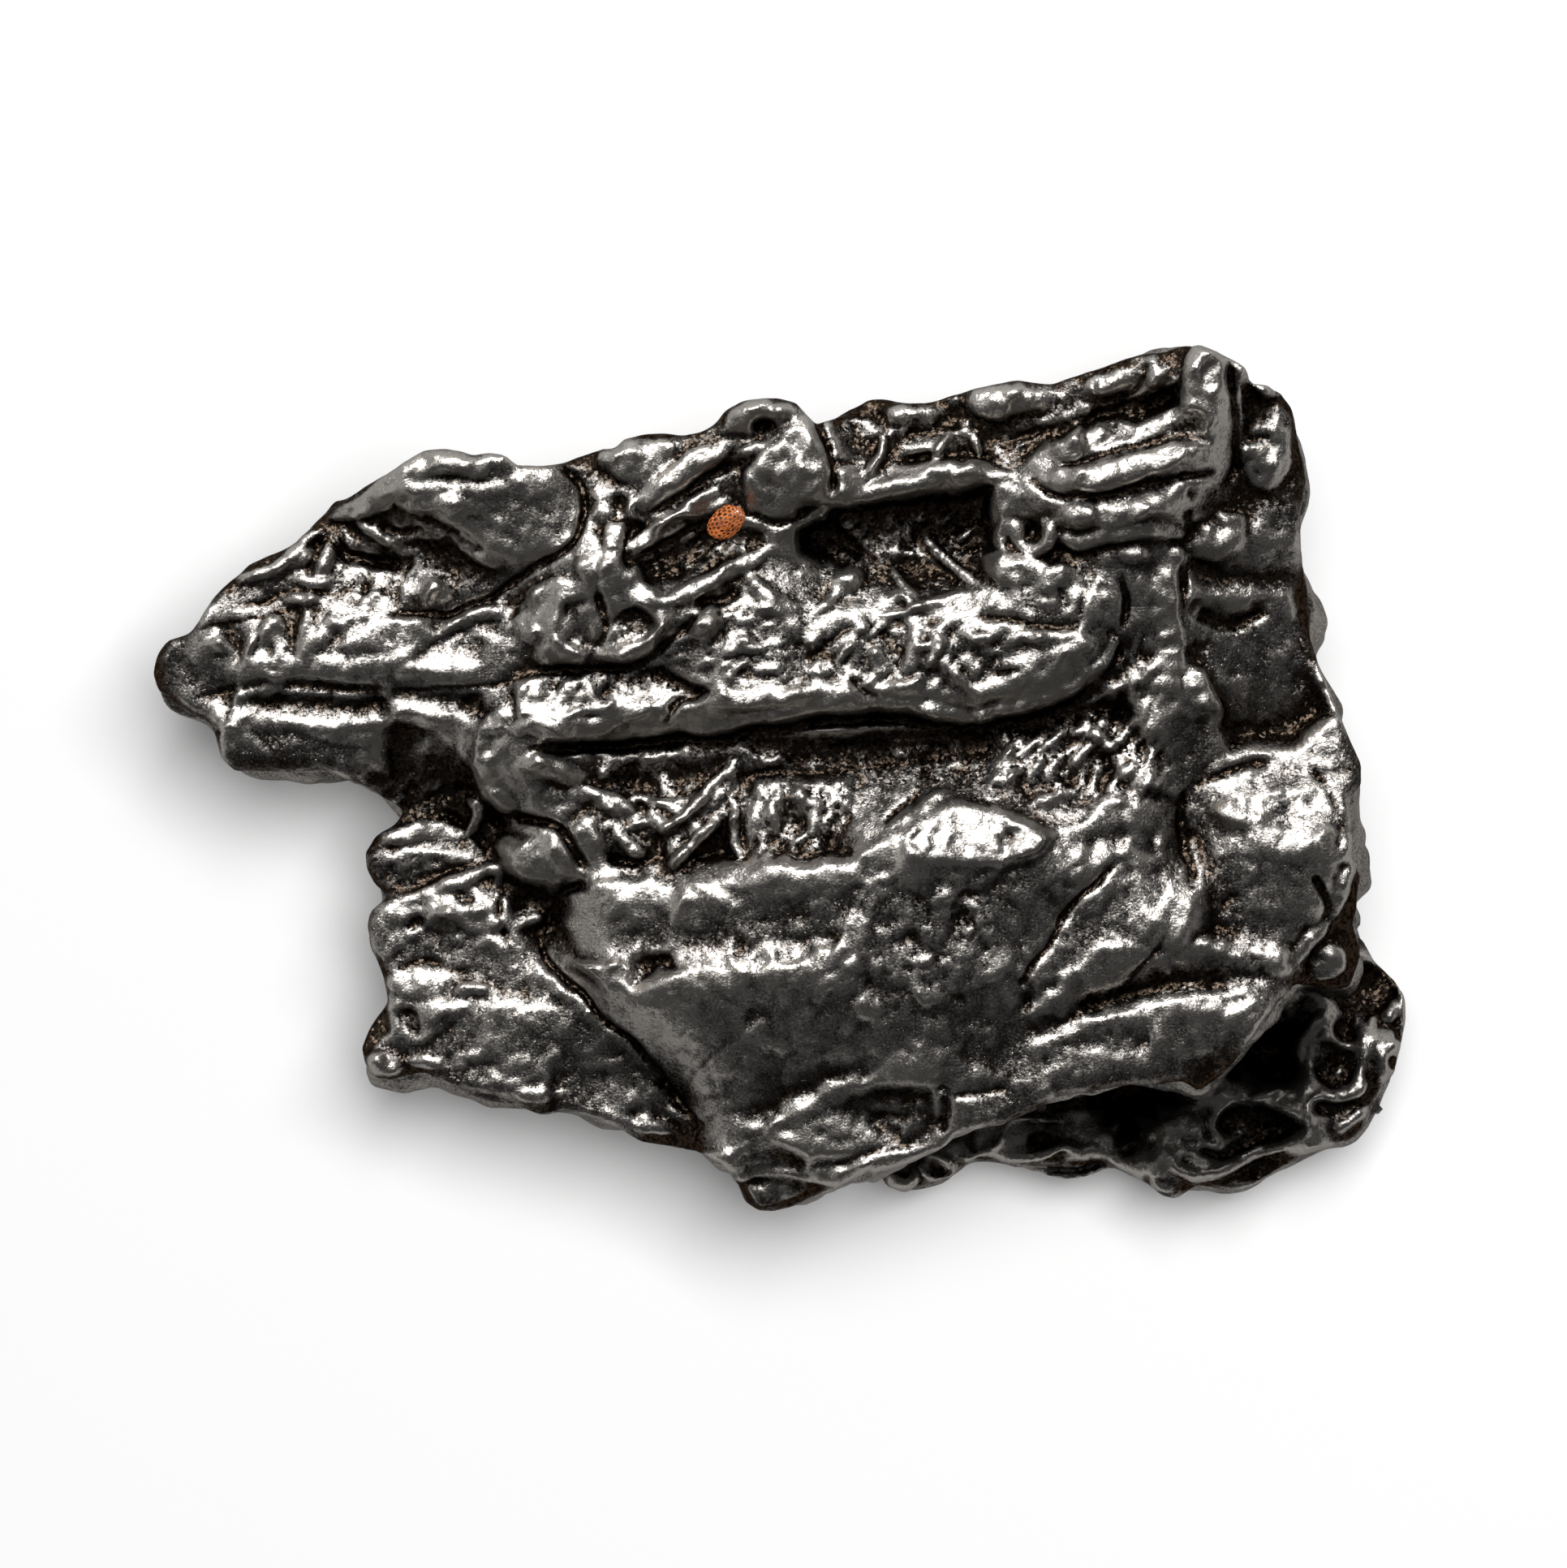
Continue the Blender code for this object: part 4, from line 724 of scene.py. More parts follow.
lowerSlab = {
    "facets": [
        ((0.02, -0.4), 0.2, [(4.1, -2.8), (5.4, -1.6), (6.6, -0.8), (7.4, -0.9), (9, -1.3), (10.2, -2),
            (9.6, -2.7), (8.4, -3.2), (6, -3.1)], 0.25, 0.2, 0, 0.9),
        ((0.05, 0.12), 0, [(8.4, -3.4), (10, -2.9), (12.4, -3.1), (10.8, -4.8), (9.6, -6.6), (8.9, -7.2),
            (7.9, -5.2)], 0.7, 0.6, 0, 0, 1),
        ((-0.02, 0.12), 0, [(-7.8, -4.4), (-5.4, -4.1), (-3, -4.4), (-1, -3.7), (2.6, -3.2), (2.2, -5.6),
            (-7.4, -6.4), (-8.4, -5.6)], 0.7, 0.6, 0, 0, 1),
        ((-0.02, 0.06), 0, [(-6.4, -8.3), (-4.4, -7.6), (1.4, -7.1), (3.4, -7.4), (5.6, -8.6), (6.2, -9.6),
            (1, -11.6), (-1.6, -12.8), (-3, -12.6), (-6, -9.4)], 0.9, 0.5, 0, 0, 1),
        ((0, -0.3), 0, [(-7.8, -7), (-6.6, -6.75), (-4.4, -6.65), (-4, -7.2), (-5.4, -7.8), (-6.6, -8)], 0.2,
            0.4, 0.2, 0.8),
        ((0, -0.25), 0, [(-3.2, -6.4), (2.2, -5.8), (2.4, -6.3), (0.4, -6.9), (-3, -7.1)], 0.2, 0.5, 0.3, 0.7,
            1),
        ((0.1, -0.1), 0, [(11.6, -4.9), (13.4, -3.9), (14.6, -5.4), (13.6, -7), (12, -8), (10, -8.6),
            (9.6, -7.8)], 0.7, 0.5, 0, 0, 1),
        ((0, 0.12), 0, [(10.4, -10.2), (12.4, -9.4), (18, -8.5), (16.4, -10.4), (13, -10.5)], 0.3, 0.3),
        ((0.02, 0.25), -0.15, [(11.4, -8.4), (14.4, -7.2), (19.2, -6.4), (19.4, -7.2), (14.4, -8),
            (11.8, -8.8)], 0.35, 0.3, 0.6),
        ((0.05, 0.03), 0, [(-0.4, -13.7), (2, -12.3), (3.6, -11.8), (5.6, -11.9), (6, -13), (4, -14),
            (1, -14.6)], 0.3, 0.3, 0.15),
        ((0, 0.08), 0, [(-8.6, -11.2), (-6, -10.9), (-5.2, -11.2), (-3.8, -13), (-6.2, -12.9), (-9, -12.3)],
            0.3, 0.25),
        ((-0.1, -0.3), 0.1, [(16.4, -1.1), (17.3, -0.5), (21.2, 0), (21, -0.6), (18.8, -1.7), (17, -1.7)],
            0.3, 0.2, 0.2, 0.4),
        ((0.1, 0.2), 0, [(16.4, -2.2), (18.8, -2.4), (20.6, -1.8), (21.4, -3), (20.8, -5), (18.4, -6.2),
            (15.8, -6)], 0.6, 0.3),
    ],
    "edges": [
        (0.4, 1.2, [(-8.3, -4.5), (-7.6, -4.05), (-5.4, -3.75), (-4.9, -3.4)]),
        (0.38, 1, [(-4.4, -4.3), (-3.4, -4.15), (-1.9, -3.35), (-1.3, -3.15), (-0.8, -3.3), (2.4, -2.9),
            (3.4, -2.45), (4.1, -2)]),
        (0.45, 0.7, [(-7.6, -7.6), (-6.6, -8), (-5.6, -7.9), (-4.6, -7.4), (-3.2, -7.15), (-1.2, -7.15),
            (0.4, -7), (2.3, -6.2)]),
        (0.4, 1, [(11, -2.8), (12.6, -2.6), (13.8, -3), (14.4, -2.6), (14.7, -1.7)]),
        (0.42, 0.8, [(9.3, -10.3), (11.2, -9.6), (11.9, -9.15), (13.8, -8.65)]),
        (0.4, 0.8, [(13.9, -8.7), (15, -8.3), (17.3, -8), (19.1, -7.5)]),
        (0.45, 0.9, [(-1.5, -13.5), (0.2, -12.8), (1.8, -11.85), (3.2, -11.6), (3.9, -11.25)]),
        (0.35, 0.5, [(-6.2, -13.05), (-4.4, -13.3)]),
        (0.35, 0.6, [(8.9, -8.9), (9.8, -8.6), (10.8, -8.1)]),
    ],
    "bars": [
        (0.4, 0.3, [(4.2, -1.9), (6.2, -0.4)]),
        (0.7, 0.3, [(9.6, -0.9), (11.6, -0.5)]),
        (0.8, 0.25, [(-1.9, -15.2), (-0.7, -14.9), (1, -15.1), (3, -14.9), (5, -14.2), (7.8, -13)]),
        (0.7, 0.4, [(21.2, -5), (21.3, -4), (21.6, -3.2), (21.5, -2)]),
        (0.9, 0.5, [(19.6, -6.9), (20.2, -6), (20.8, -5.4)]),
    ],
    "cuts": [
        (0.45, 2.4, [(-9.2, -5), (-9.3, -6), (-9.1, -6.8), (-8.5, -7.5), (-7.6, -8.2), (-7, -9),
            (-5.6, -10.1), (-3.3, -13.3)]),
        (0.45, 0.9, [(12.8, -3.1), (11.7, -4), (10.8, -5), (10.3, -6), (9.1, -7.8)]),
        (0.35, 0.5, [(14.6, -5.9), (12.7, -8.1), (10.3, -9.4)]),
        (0.8, 1.1, [(15.4, -0.4), (15.3, -1.4), (15.4, -2.6), (15.7, -3.8)]),
        (0.6, 0.7, [(15.5, -0.3), (17.4, 0.5), (18.6, 0.8)]),
        (0.9, 0.9, [(6.1, -11.9), (6.2, -12.6), (6, -13.3)]),
        (0.5, 0.6, [(6.4, -12), (7.4, -11.95), (8.4, -11.7)]),
        (0.4, 0.5, [(4, -1.4), (5.4, -0.3)]),
        (0.5, 0.6, [(20.4, -3.8), (20.9, -4.8), (20.6, -5.8)]),
        (0.35, 0.5, [(20.2, 0.6), (20.9, -0.2), (21.3, -1.2)]),
    ],
    "lumps": [(20.7, -6.9, 1, 0.8, 0.4, 0), (-0.4, -15.5, 1.2, 0.8, 0.3, 0), (3.2, -13, 1.4, 0.5, 0.12, 10)],
    "bowls": [(7, -5, 0.9, 0.6, 0.1, 60)],
    "ribs": [
        (20, 0.3, 0.2, [(12.4, -8.4), (15, -7.4), (19.2, -6.6), (19.3, -7.2), (12.4, -8.6)]),
        (85, 1.5, 0.1, [(3, -3.6), (8, -3.8), (8.6, -7), (6.4, -9), (3, -8.8)]),
    ],
}

lowerLeftBlock = {
    "facets": [
        ((0, 0.16), 0, [(-15.6, -5), (-12.6, -4.2), (-10.4, -4.6), (-9.6, -8.4), (-15.4, -8.2)], 0.5, 0.6, 0,
            0, 1),
        ((0, 0.12), 0, [(-15, -8.8), (-10.2, -8.6), (-8.8, -9.2), (-9.4, -10.8), (-12, -11.4), (-15.2, -11)],
            0.5, 0.6, 0, 0, 1),
        ((0, -0.4), 0, [(-15.9, -2.3), (-14, -1.8), (-12.4, -1.8), (-12.2, -2.5), (-14, -2.6), (-16, -3.2)],
            0.3, 0.3),
        ((0, 0.3), 0, [(-16, -3), (-12.2, -2.6), (-12.4, -3.4), (-14, -4), (-15.8, -4.2)], 0.3, 0.4),
        ((0.1, -0.5), 0.1, [(-10.5, -4.5), (-9.4, -4.6), (-9.3, -5.4), (-10.2, -5.6)], 0.25, 0.2, 0.2, 0.9),
        ((0.05, 0.1), 0, [(-11, -8.7), (-9.8, -8.7), (-8.7, -9), (-8.7, -9.9), (-9.3, -10.7), (-10, -11.2),
            (-12, -10.6)], 0.4, 0.4),
    ],
    "bars": [
        (0.8, 0.35, [(-15.6, -2.3), (-13.8, -1.95), (-12.3, -2)]),
        (0.4, 0.5, [(-12.3, -2), (-11.8, -1.5), (-11.7, -1), (-12.1, -0.7)]),
        (0.6, 0.5, [(-15.9, -5), (-14.5, -4.6), (-11.3, -3.4), (-10.9, -3.9)]),
        (0.5, 0.3, [(-12.4, -4.7), (-11.8, -4.9), (-11.2, -4.6)]),
        (0.45, 0.3, [(-11.9, -6.3), (-11.3, -6.2), (-10.8, -6.5), (-10.6, -7.2)]),
        (0.5, 0.3, [(-9.6, -7), (-9.2, -7.6), (-8, -8.5)]),
        (0.5, 0.25, [(-14.4, -10.8), (-12.2, -11)]),
        (0.5, 0.25, [(-10.4, -12), (-9.4, -12.1), (-8.4, -12)]),
        (0.5, 0.25, [(-6.6, -13), (-4.2, -13.4)]),
        (0.5, 0.25, [(-12.6, -8.2), (-11.8, -8.05), (-11, -8.2)]),
    ],
    "cuts": [
        (0.35, 0.8, [(-15.9, -4.4), (-13.8, -3.9), (-12, -3)]),
        (0.7, 1.4, [(-13.2, -1), (-11.6, -2.2), (-11.2, -3)]),
        (0.35, 0.6, [(-10.6, -4), (-10.9, -4.8), (-10.8, -5.6), (-10.4, -6.2)]),
        (0.5, 0.4, [(-15.4, -7.4), (-14, -7), (-12.6, -7.4), (-11.6, -7.2)]),
    ],
    "lumps": [(-11, -5.5, 0.35, 0.35, 0.3, 0), (-14, -7.8, 1.2, 0.6, 0.3, 0), (-15.4, -11, 0.7, 0.5, 0.3, 0),
        (-12.9, -5.3, 0.7, 0.5, 0.3, 0)],
    "bowls": [(-12.3, -4.4, 0.35, 0.3, 0.5, 0), (-14.3, -5.6, 0.45, 0.25, 0.3, 30),
        (-14.5, -9.3, 0.4, 0.6, 0.7, 20)],
    "ribs": [
        (8, 0.35, 0.2, [(-15.9, -2.9), (-12.4, -2.6), (-12.4, -3.3), (-15.8, -4.1)]),
    ],
}

lowLobe = {
    "facets": [
        ((0, -0.3), 0, [(14.6, -12.6), (16.6, -12.8), (16.8, -14), (14.6, -14.2)], 0.3, 0.5),
    ],
    "bars": [
        (0.6, 0.8, [(21.2, -8.9), (20.3, -10.3), (20, -11.2), (19.6, -11.8)]),
        (0.6, 0.8, [(23.1, -9.4), (22.7, -10.5), (22.6, -11.3), (22.2, -12), (21, -12.2), (20.6, -12.6),
            (20.5, -13.1), (20.2, -13.5), (18.8, -14.4), (16.6, -15.3), (15.7, -15), (15, -14.6),
            (14.1, -13.8)]),
        (0.5, 0.6, [(16.8, -12.6), (17, -12.2), (18, -12.4), (19, -12.2), (20, -12.3), (20.5, -12.8)]),
        (0.5, 0.5, [(23.4, -9.4), (23.9, -9), (24.1, -8.5)]),
        (0.5, 0.5, [(23.2, -10.4), (23.8, -10.4), (24, -10.9), (23.6, -11.4)]),
        (0.7, 0.5, [(14, -13.2), (14.6, -13.5), (16.2, -13.2)]),
        (0.22, 0.7, [(11.1, -13.28), (9.1, -13.2), (8.3, -14.3), (7, -14.9)]),
        (0.35, 0.5, [(5.3, -14.9), (5.6, -15.3), (6.2, -15.5), (6.7, -15.2), (6.4, -14.7), (5.8, -14.6)]),
        (0.35, 0.4, [(8, -14.7), (10, -14.6), (10.9, -14.2), (12, -14.8)]),
        (0.35, 0.4, [(12.1, -13.8), (12.9, -13.7), (13.2, -13.2)]),
        (0.5, 0.4, [(4, -15.4), (4.8, -15.7), (5.2, -15.2)]),
        (0.5, 0.4, [(21.6, -13.6), (22.8, -12.6)]),
        (0.4, 0.35, [(12.8, -14.7), (13.6, -15), (14.4, -15.6), (15.2, -15.8)]),
    ],
    "cuts": [
        (1, 0.9, [(10.2, -12.7), (14.2, -12.3)]),
        (0.8, 0.8, [(17.6, -11.2), (19.4, -9.2)]),
        (0.9, 0.9, [(21.2, -7.9), (22, -8.6), (22.4, -9.4)]),
        (0.4, 0.5, [(16.2, -14.2), (17, -14.6), (17.8, -14.4)]),
    ],
    "lumps": [(15.9, -13.5, 0.5, 0.45, 0.4, 20), (14.6, -13.7, 0.45, 0.4, 0.4, 0),
        (12.5, -13.9, 0.6, 0.4, 0.3, 0)],
    "bowls": [(18.4, -13.4, 1.3, 0.8, 0.8, -10), (21.5, -11, 0.8, 0.9, 0.5, 0),
        (22.9, -11.3, 0.2, 0.5, 0.4, 0), (21.2, -12.7, 0.5, 0.25, 0.4, -20),
        (23.75, -10.9, 0.2, 0.25, 0.5, 0), (5.95, -15.1, 0.35, 0.3, 0.5, 0), (22, -9.6, 0.5, 0.6, 0.5, 0),
        (19.2, -11.2, 0.6, 0.5, 0.5, 0), (13.4, -14.3, 0.4, 0.3, 0.3, 0), (10.2, -14, 0.6, 0.35, 0.4, 0)],
    "ribs": [
        (110, 0.4, 0.3, [(14.2, -13.2), (16.6, -13.2), (16.6, -14.8), (14.4, -14.4)]),
    ],
}


def carve(relief, region):
    tools = {"facets": relief.facet, "ribs": relief.ribs, "cuts": relief.cut, "edges": relief.edge,
             "lumps": relief.lump, "bars": relief.bar, "bowls": relief.bowl}
    for kind, tool in tools.items():
        for row in region.get(kind, []):
            tool(*row)
        if kind == "facets":
            relief.level()


# ---- the shard's skin

shardSkin = {
    "plateMm": 0.12,  # fineness of the plates before they are raised to height
    "voxelMm": 0.13,
    "rimMm": 0.5,  # how far in the slab's edge is rounded
    "lobeRimMm": 0.7,
    "rimCrust": 0.3,  # share of the crust's thickness at the rim
    "bodyCrust": 0.7,  # share of it that stays clear of the solid
    "undersideMm": 2.0,  # how far in the rim's overhang reaches
    "crustMm": 1.8,  # thickness of the carved plates on the solid
    "bodyMm": 0.3,
    "soften": 0.25,
    "tuckMm": 0.12,  # how far the walls lie back under the rim
    "footMm": 1.5,  # above this height, so that the feet stay where they stand
}


def meshPoints(mesh):
    flat = np.empty(len(mesh.vertices) * 3, np.float32)
    mesh.vertices.foreach_get("co", flat)
    return flat.reshape(-1, 3).astype(float)


def meshNormals(mesh):
    flat = np.empty(len(mesh.vertices) * 3, np.float32)
    mesh.vertex_normals.foreach_get("vector", flat)
    return flat.reshape(-1, 3).astype(float)


def setPoints(mesh, points):
    mesh.vertices.foreach_set("co", points.astype(np.float32).ravel())
    mesh.update()


def baked(thing):
    # the object's mesh as its modifiers leave it
    bpy.context.view_layer.update()
    graph = bpy.context.evaluated_depsgraph_get()
    mesh = bpy.data.meshes.new_from_object(thing.evaluated_get(graph))
    thing.modifiers.clear()
    thing.data = mesh
    return thing


def reskin(thing, voxelMm):
    skin = thing.modifiers.new("skin", "REMESH")
    skin.mode = "VOXEL"
    skin.voxel_size = voxelMm * mm
    skin.use_smooth_shade = True
    return baked(thing)


def soften(thing, factor):
    smooth = thing.modifiers.new("soften", "SMOOTH")
    smooth.factor = factor
    smooth.iterations = 1
    return baked(thing)


def treeOf(mesh):
    return BVHTree.FromPolygons([v.co for v in mesh.vertices], [tuple(p.vertices) for p in mesh.polygons])


def dome(depth, radius):
    # 0 at the edge, rising like a quarter circle to 1
    rise = np.clip(depth / radius, 0, 1)
    return np.sqrt(1 - (1 - rise) ** 2)


def flatPlate(name, outline):
    # a plate 2 mm thick with the given outline, in metres, as an even skin
    curve = bpy.data.curves.new(name, "CURVE")
    curve.dimensions = "2D"
    curve.fill_mode = "BOTH"
    curve.extrude = mm
    path = curve.splines.new("POLY")
    path.points.add(len(outline) - 1)
    for point, (x, y) in zip(path.points, outline):
        point.co = (x * mm, y * mm, 0, 1)
    path.use_cyclic_u = True
    drawn = bpy.data.objects.new(name, curve)
    bpy.context.scene.collection.objects.link(drawn)
    bpy.context.view_layer.update()
    mesh = bpy.data.meshes.new_from_object(drawn.evaluated_get(bpy.context.evaluated_depsgraph_get()))
    bpy.data.objects.remove(drawn)
    plate = bpy.data.objects.new(name, mesh)
    bpy.context.scene.collection.objects.link(plate)
    return reskin(plate, shardSkin["plateMm"])


def raisePlate(plate, relief, rimMm):
    # lifts the plate's upper face to the relief, rounds its edge and thickens it inward
    points = meshPoints(plate.data)
    x, y, z = points.T / mm
    depth = relief.sample(relief.depth, x, y).clip(min=0)
    top = relief.sample(relief.z, x, y)
    upper = top - rimMm * (1 - dome(depth, rimMm))
    inward = smooth01(depth / shardSkin["undersideMm"])
    lower = top - rimMm - shardSkin["crustMm"] * (shardSkin["rimCrust"] + inward)
    share = (z.clip(-1, 1) + 1) / 2
    points[:, 2] = (lower + (upper - lower) * share) * mm
    setPoints(plate.data, points)


def makeBody(slab, lobe):
    # the solid itself, drawn in a little and kept clear of the furrows, carries the walls and the belly
    body = bpy.data.objects.new("body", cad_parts["iron_shard"].data.copy())
    bpy.context.scene.collection.objects.link(body)
    reskin(body, shardSkin["bodyMm"])
    points = meshPoints(body.data)
    tuck = shardSkin["tuckMm"] * smooth01(points[:, 2] / mm / shardSkin["footMm"])
    points -= meshNormals(body.data) * (tuck * mm)[:, None]
    x, y, z = points.T / mm
    onLobe = (slab.sample(slab.depth, x, y) < -0.2) & (lobe.sample(lobe.depth, x, y) > -0.3)
    ceiling = np.where(onLobe, lobe.sample(lobe.z, x, y), slab.sample(slab.z, x, y))
    points[:, 2] = np.minimum(z, ceiling - shardSkin["crustMm"] * shardSkin["bodyCrust"]) * mm
    setPoints(body.data, points)
    return body


def makeReliefs():
    tree = treeOf(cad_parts["iron_shard"].data)
    slab, lobe = [Relief(reliefGrid, outline, seed)
                  for outline, seed in zip((slabOutline, lobeOutline), reliefGrid["seeds"])]
    sky = slab.cast(tree, 30)
    seen = sky > -0.5
    core = reliefGrid["coreMm"]
    slab.settle(sky, seen & (slab.depth > core), reliefGrid["evenMm"])
    lobe.settle(sky, seen & (lobe.depth > core) & (slab.depth < -0.5), reliefGrid["evenLobeMm"])
    print("relief measured")
    for region in (upperLeftLobe, arm, topMiddle, upperRight, middleBand, lowerMiddle, lowerSlab,
                   lowerLeftBlock):
        carve(slab, region)
    carve(lobe, lowLobe)
    for relief in (slab, lobe):
        flakes = sum(relief.tiles(size, slope) for size, slope in reliefGrid["tiles"])
        relief.z += blurred(flakes, 1) * (0.6 + 0.9 * relief.grit + 0.7 * relief.shine)
    return slab, lobe


def makeShard(slab, lobe):
    shard, low = flatPlate("ironShard", slabOutline), flatPlate("lobe", lobeOutline)
    raisePlate(shard, slab, shardSkin["rimMm"])
    raisePlate(low, lobe, shardSkin["lobeRimMm"])
    body = makeBody(slab, lobe)
    form = bmesh.new()
    for part in (shard, low, body):
        form.from_mesh(part.data)
    form.to_mesh(shard.data)
    form.free()
    for part in (low, body):
        bpy.data.objects.remove(part)
    reskin(shard, shardSkin["voxelMm"])
    soften(shard, shardSkin["soften"])
    print("carved", len(shard.data.vertices))
    return shard


def readReliefs(points, slab, lobe):
    # for points on the skin: how far under the plate's top and in from its rim, and a reader for other fields
    x, y, z = points.T / mm
    lobeTop, fromSlab = lobe.sample(lobe.z, x, y), slab.sample(slab.depth, x, y)
    onLobe = (lobe.sample(lobe.depth, x, y) > -0.3) & (fromSlab < 0.1) & (z < lobeTop + 0.3)

    def read(slabField, lobeField):
        return np.where(onLobe, lobe.sample(lobeField, x, y), slab.sample(slabField, x, y))

    return read(slab.z, lobe.z) - z, read(slab.depth, lobe.depth), read


weathering = {
    "swell": (1.7, 0.07),  # gentle hammered unevenness everywhere: size, height
    "dents": (0.6, 0.03),
    "crumbs": (0.24, 0.06),  # torn grains in the furrows
    "pits": (3.1, 0.4),  # thumbprint hollows on the walls and the underside
    "wallSwell": (3.5, 0.4),
    "wallFlakes": (0.9, 0.2),
}


def weather(shard, slab, lobe):
    points = meshPoints(shard.data)
    below, inside, read = readReliefs(points, slab, lobe)
    hidden = smooth01((below - 0.8) / 2.5)
    places = [Vector(p) for p in points / mm]

    def bumps(key):
        size, height = weathering[key]
        return np.array([noise.noise(p / size) for p in places]) * height

    size, depth = weathering["pits"]
    pits = np.array([noise.voronoi(p / size)[0][0] for p in places])
    lift = bumps("swell") + bumps("dents") + bumps("crumbs") * read(slab.grit, lobe.grit) * (1 - hidden)
    lift += hidden * ((pits ** 2 - 0.3) * depth + bumps("wallSwell") + bumps("wallFlakes"))
    low = smooth01(points[:, 2] / mm / 0.4)  # the feet stay where they stand
    setPoints(shard.data, points + meshNormals(shard.data) * (lift * low * mm)[:, None])


def markSurface(shard, slab, lobe):
    # per point: how high or sunken the metal is, with painted shade on the rims, how torn it was left and how
    # far handling has shone it
    below, inside, read = readReliefs(meshPoints(shard.data), slab, lobe)
    seen = 1 - smooth01((below - 0.3) / 1.2)
    stands = [np.clip(sum(share * (r.z - blurred(r.z, cells)) for share, cells in ((1.6, 5), (0.8, 16))), -1, 1)
              for r in (slab, lobe)]
    rim = 1 - smooth01(inside / 0.7)
    northRimShade = meshNormals(shard.data)[:, 1].clip(0, 1)
    # the walls are evenly dull; the rims are darkened a little all round and more where they face north, which
    # is painted shade
    proudAndRimShade = (read(*stands) - (0.05 + 0.2 * northRimShade) * rim) * seen + 0.03 * (1 - seen)
    for name, values in (("proudAndRimShade", proudAndRimShade), ("grit", read(slab.grit, lobe.grit) * seen),
                         ("shine", read(slab.shine, lobe.shine) * seen)):
        mark = shard.data.attributes.new(name, "FLOAT", "POINT")
        mark.data.foreach_set("value", values.astype(np.float32))


slabRelief, lobeRelief = makeReliefs()
shard = makeShard(slabRelief, lobeRelief)
weather(shard, slabRelief, lobeRelief)
markSurface(shard, slabRelief, lobeRelief)

# ---- materials


def fromHex(code):
    # an sRGB hex colour as the linear values that a node takes
    channels = [int(code[i:i + 2], 16) / 255 for i in (0, 2, 4)]
    return [c / 12.92 if c <= 0.04045 else ((c + 0.055) / 1.055) ** 2.4 for c in channels] + [1.0]


def addNode(tree, kind, settings=None, links=None):
    node = tree.nodes.new(kind)
    for name, value in (settings or {}).items():
        if isinstance(name, int) or name in node.inputs:
            node.inputs[name].default_value = value
        else:
            setattr(node, name, value)
    for name, socket in (links or {}).items():
        tree.links.new(socket, node.inputs[name])
    return node


def addRamp(tree, factor, stops):
    # stops are (place, grey level or hex colour)
    node = tree.nodes.new("ShaderNodeValToRGB")
    ramp = node.color_ramp
    while len(ramp.elements) < len(stops):
        ramp.elements.new(0.5)
    for element, (place, colour) in zip(ramp.elements, stops):
        element.position = place
        element.color = fromHex(colour) if isinstance(colour, str) else (colour, colour, colour, 1)
    tree.links.new(factor, node.inputs["Fac"])
    return node.outputs["Color"]


ironLook = {
    "burnished": "9A9691",
    "dull": "55524F",
    "furrow": "342C25",
    "edgeTint": 0.35,  # the thin oxide film takes the glare off grazing edges
    "paintedGlint": 0.9,  # painted glint: how much single grains in torn places are lightened, as if they caught the light
    "grainMm": 0.13,  # size of the torn crystals in the furrows
    "speckMm": 0.09,  # size of the scuffs on worn metal
    "scuffDepthMm": 0.02,
    "blotchMm": 2.4,  # size of the patches that are worn more or less
    "roughness": (0.2, 0.26, 0.2),  # in furrows, on worn metal, and what scuffs add
    "tornLean": 0.75,  # how far the torn crystals lean
    "wornLean": 0.2,
    "hammerMm": 0.6,  # soft dimples in the worn metal: size and depth
    "hammerDepthMm": 0.03,
}


def crystalHeight(tree, place, cells):
    # each grain is a little flat face that leans its own way
    arm = addNode(tree, "ShaderNodeVectorMath", {"operation": "SUBTRACT"},
                  {0: place, 1: cells.outputs["Position"]})
    lean = addNode(tree, "ShaderNodeVectorMath", {"operation": "SUBTRACT", 1: (0.5, 0.5, 0.5)},
                   {0: cells.outputs["Color"]})
    return addNode(tree, "ShaderNodeVectorMath", {"operation": "DOT_PRODUCT"},
                   {0: arm.outputs[0], 1: lean.outputs[0]}).outputs["Value"]


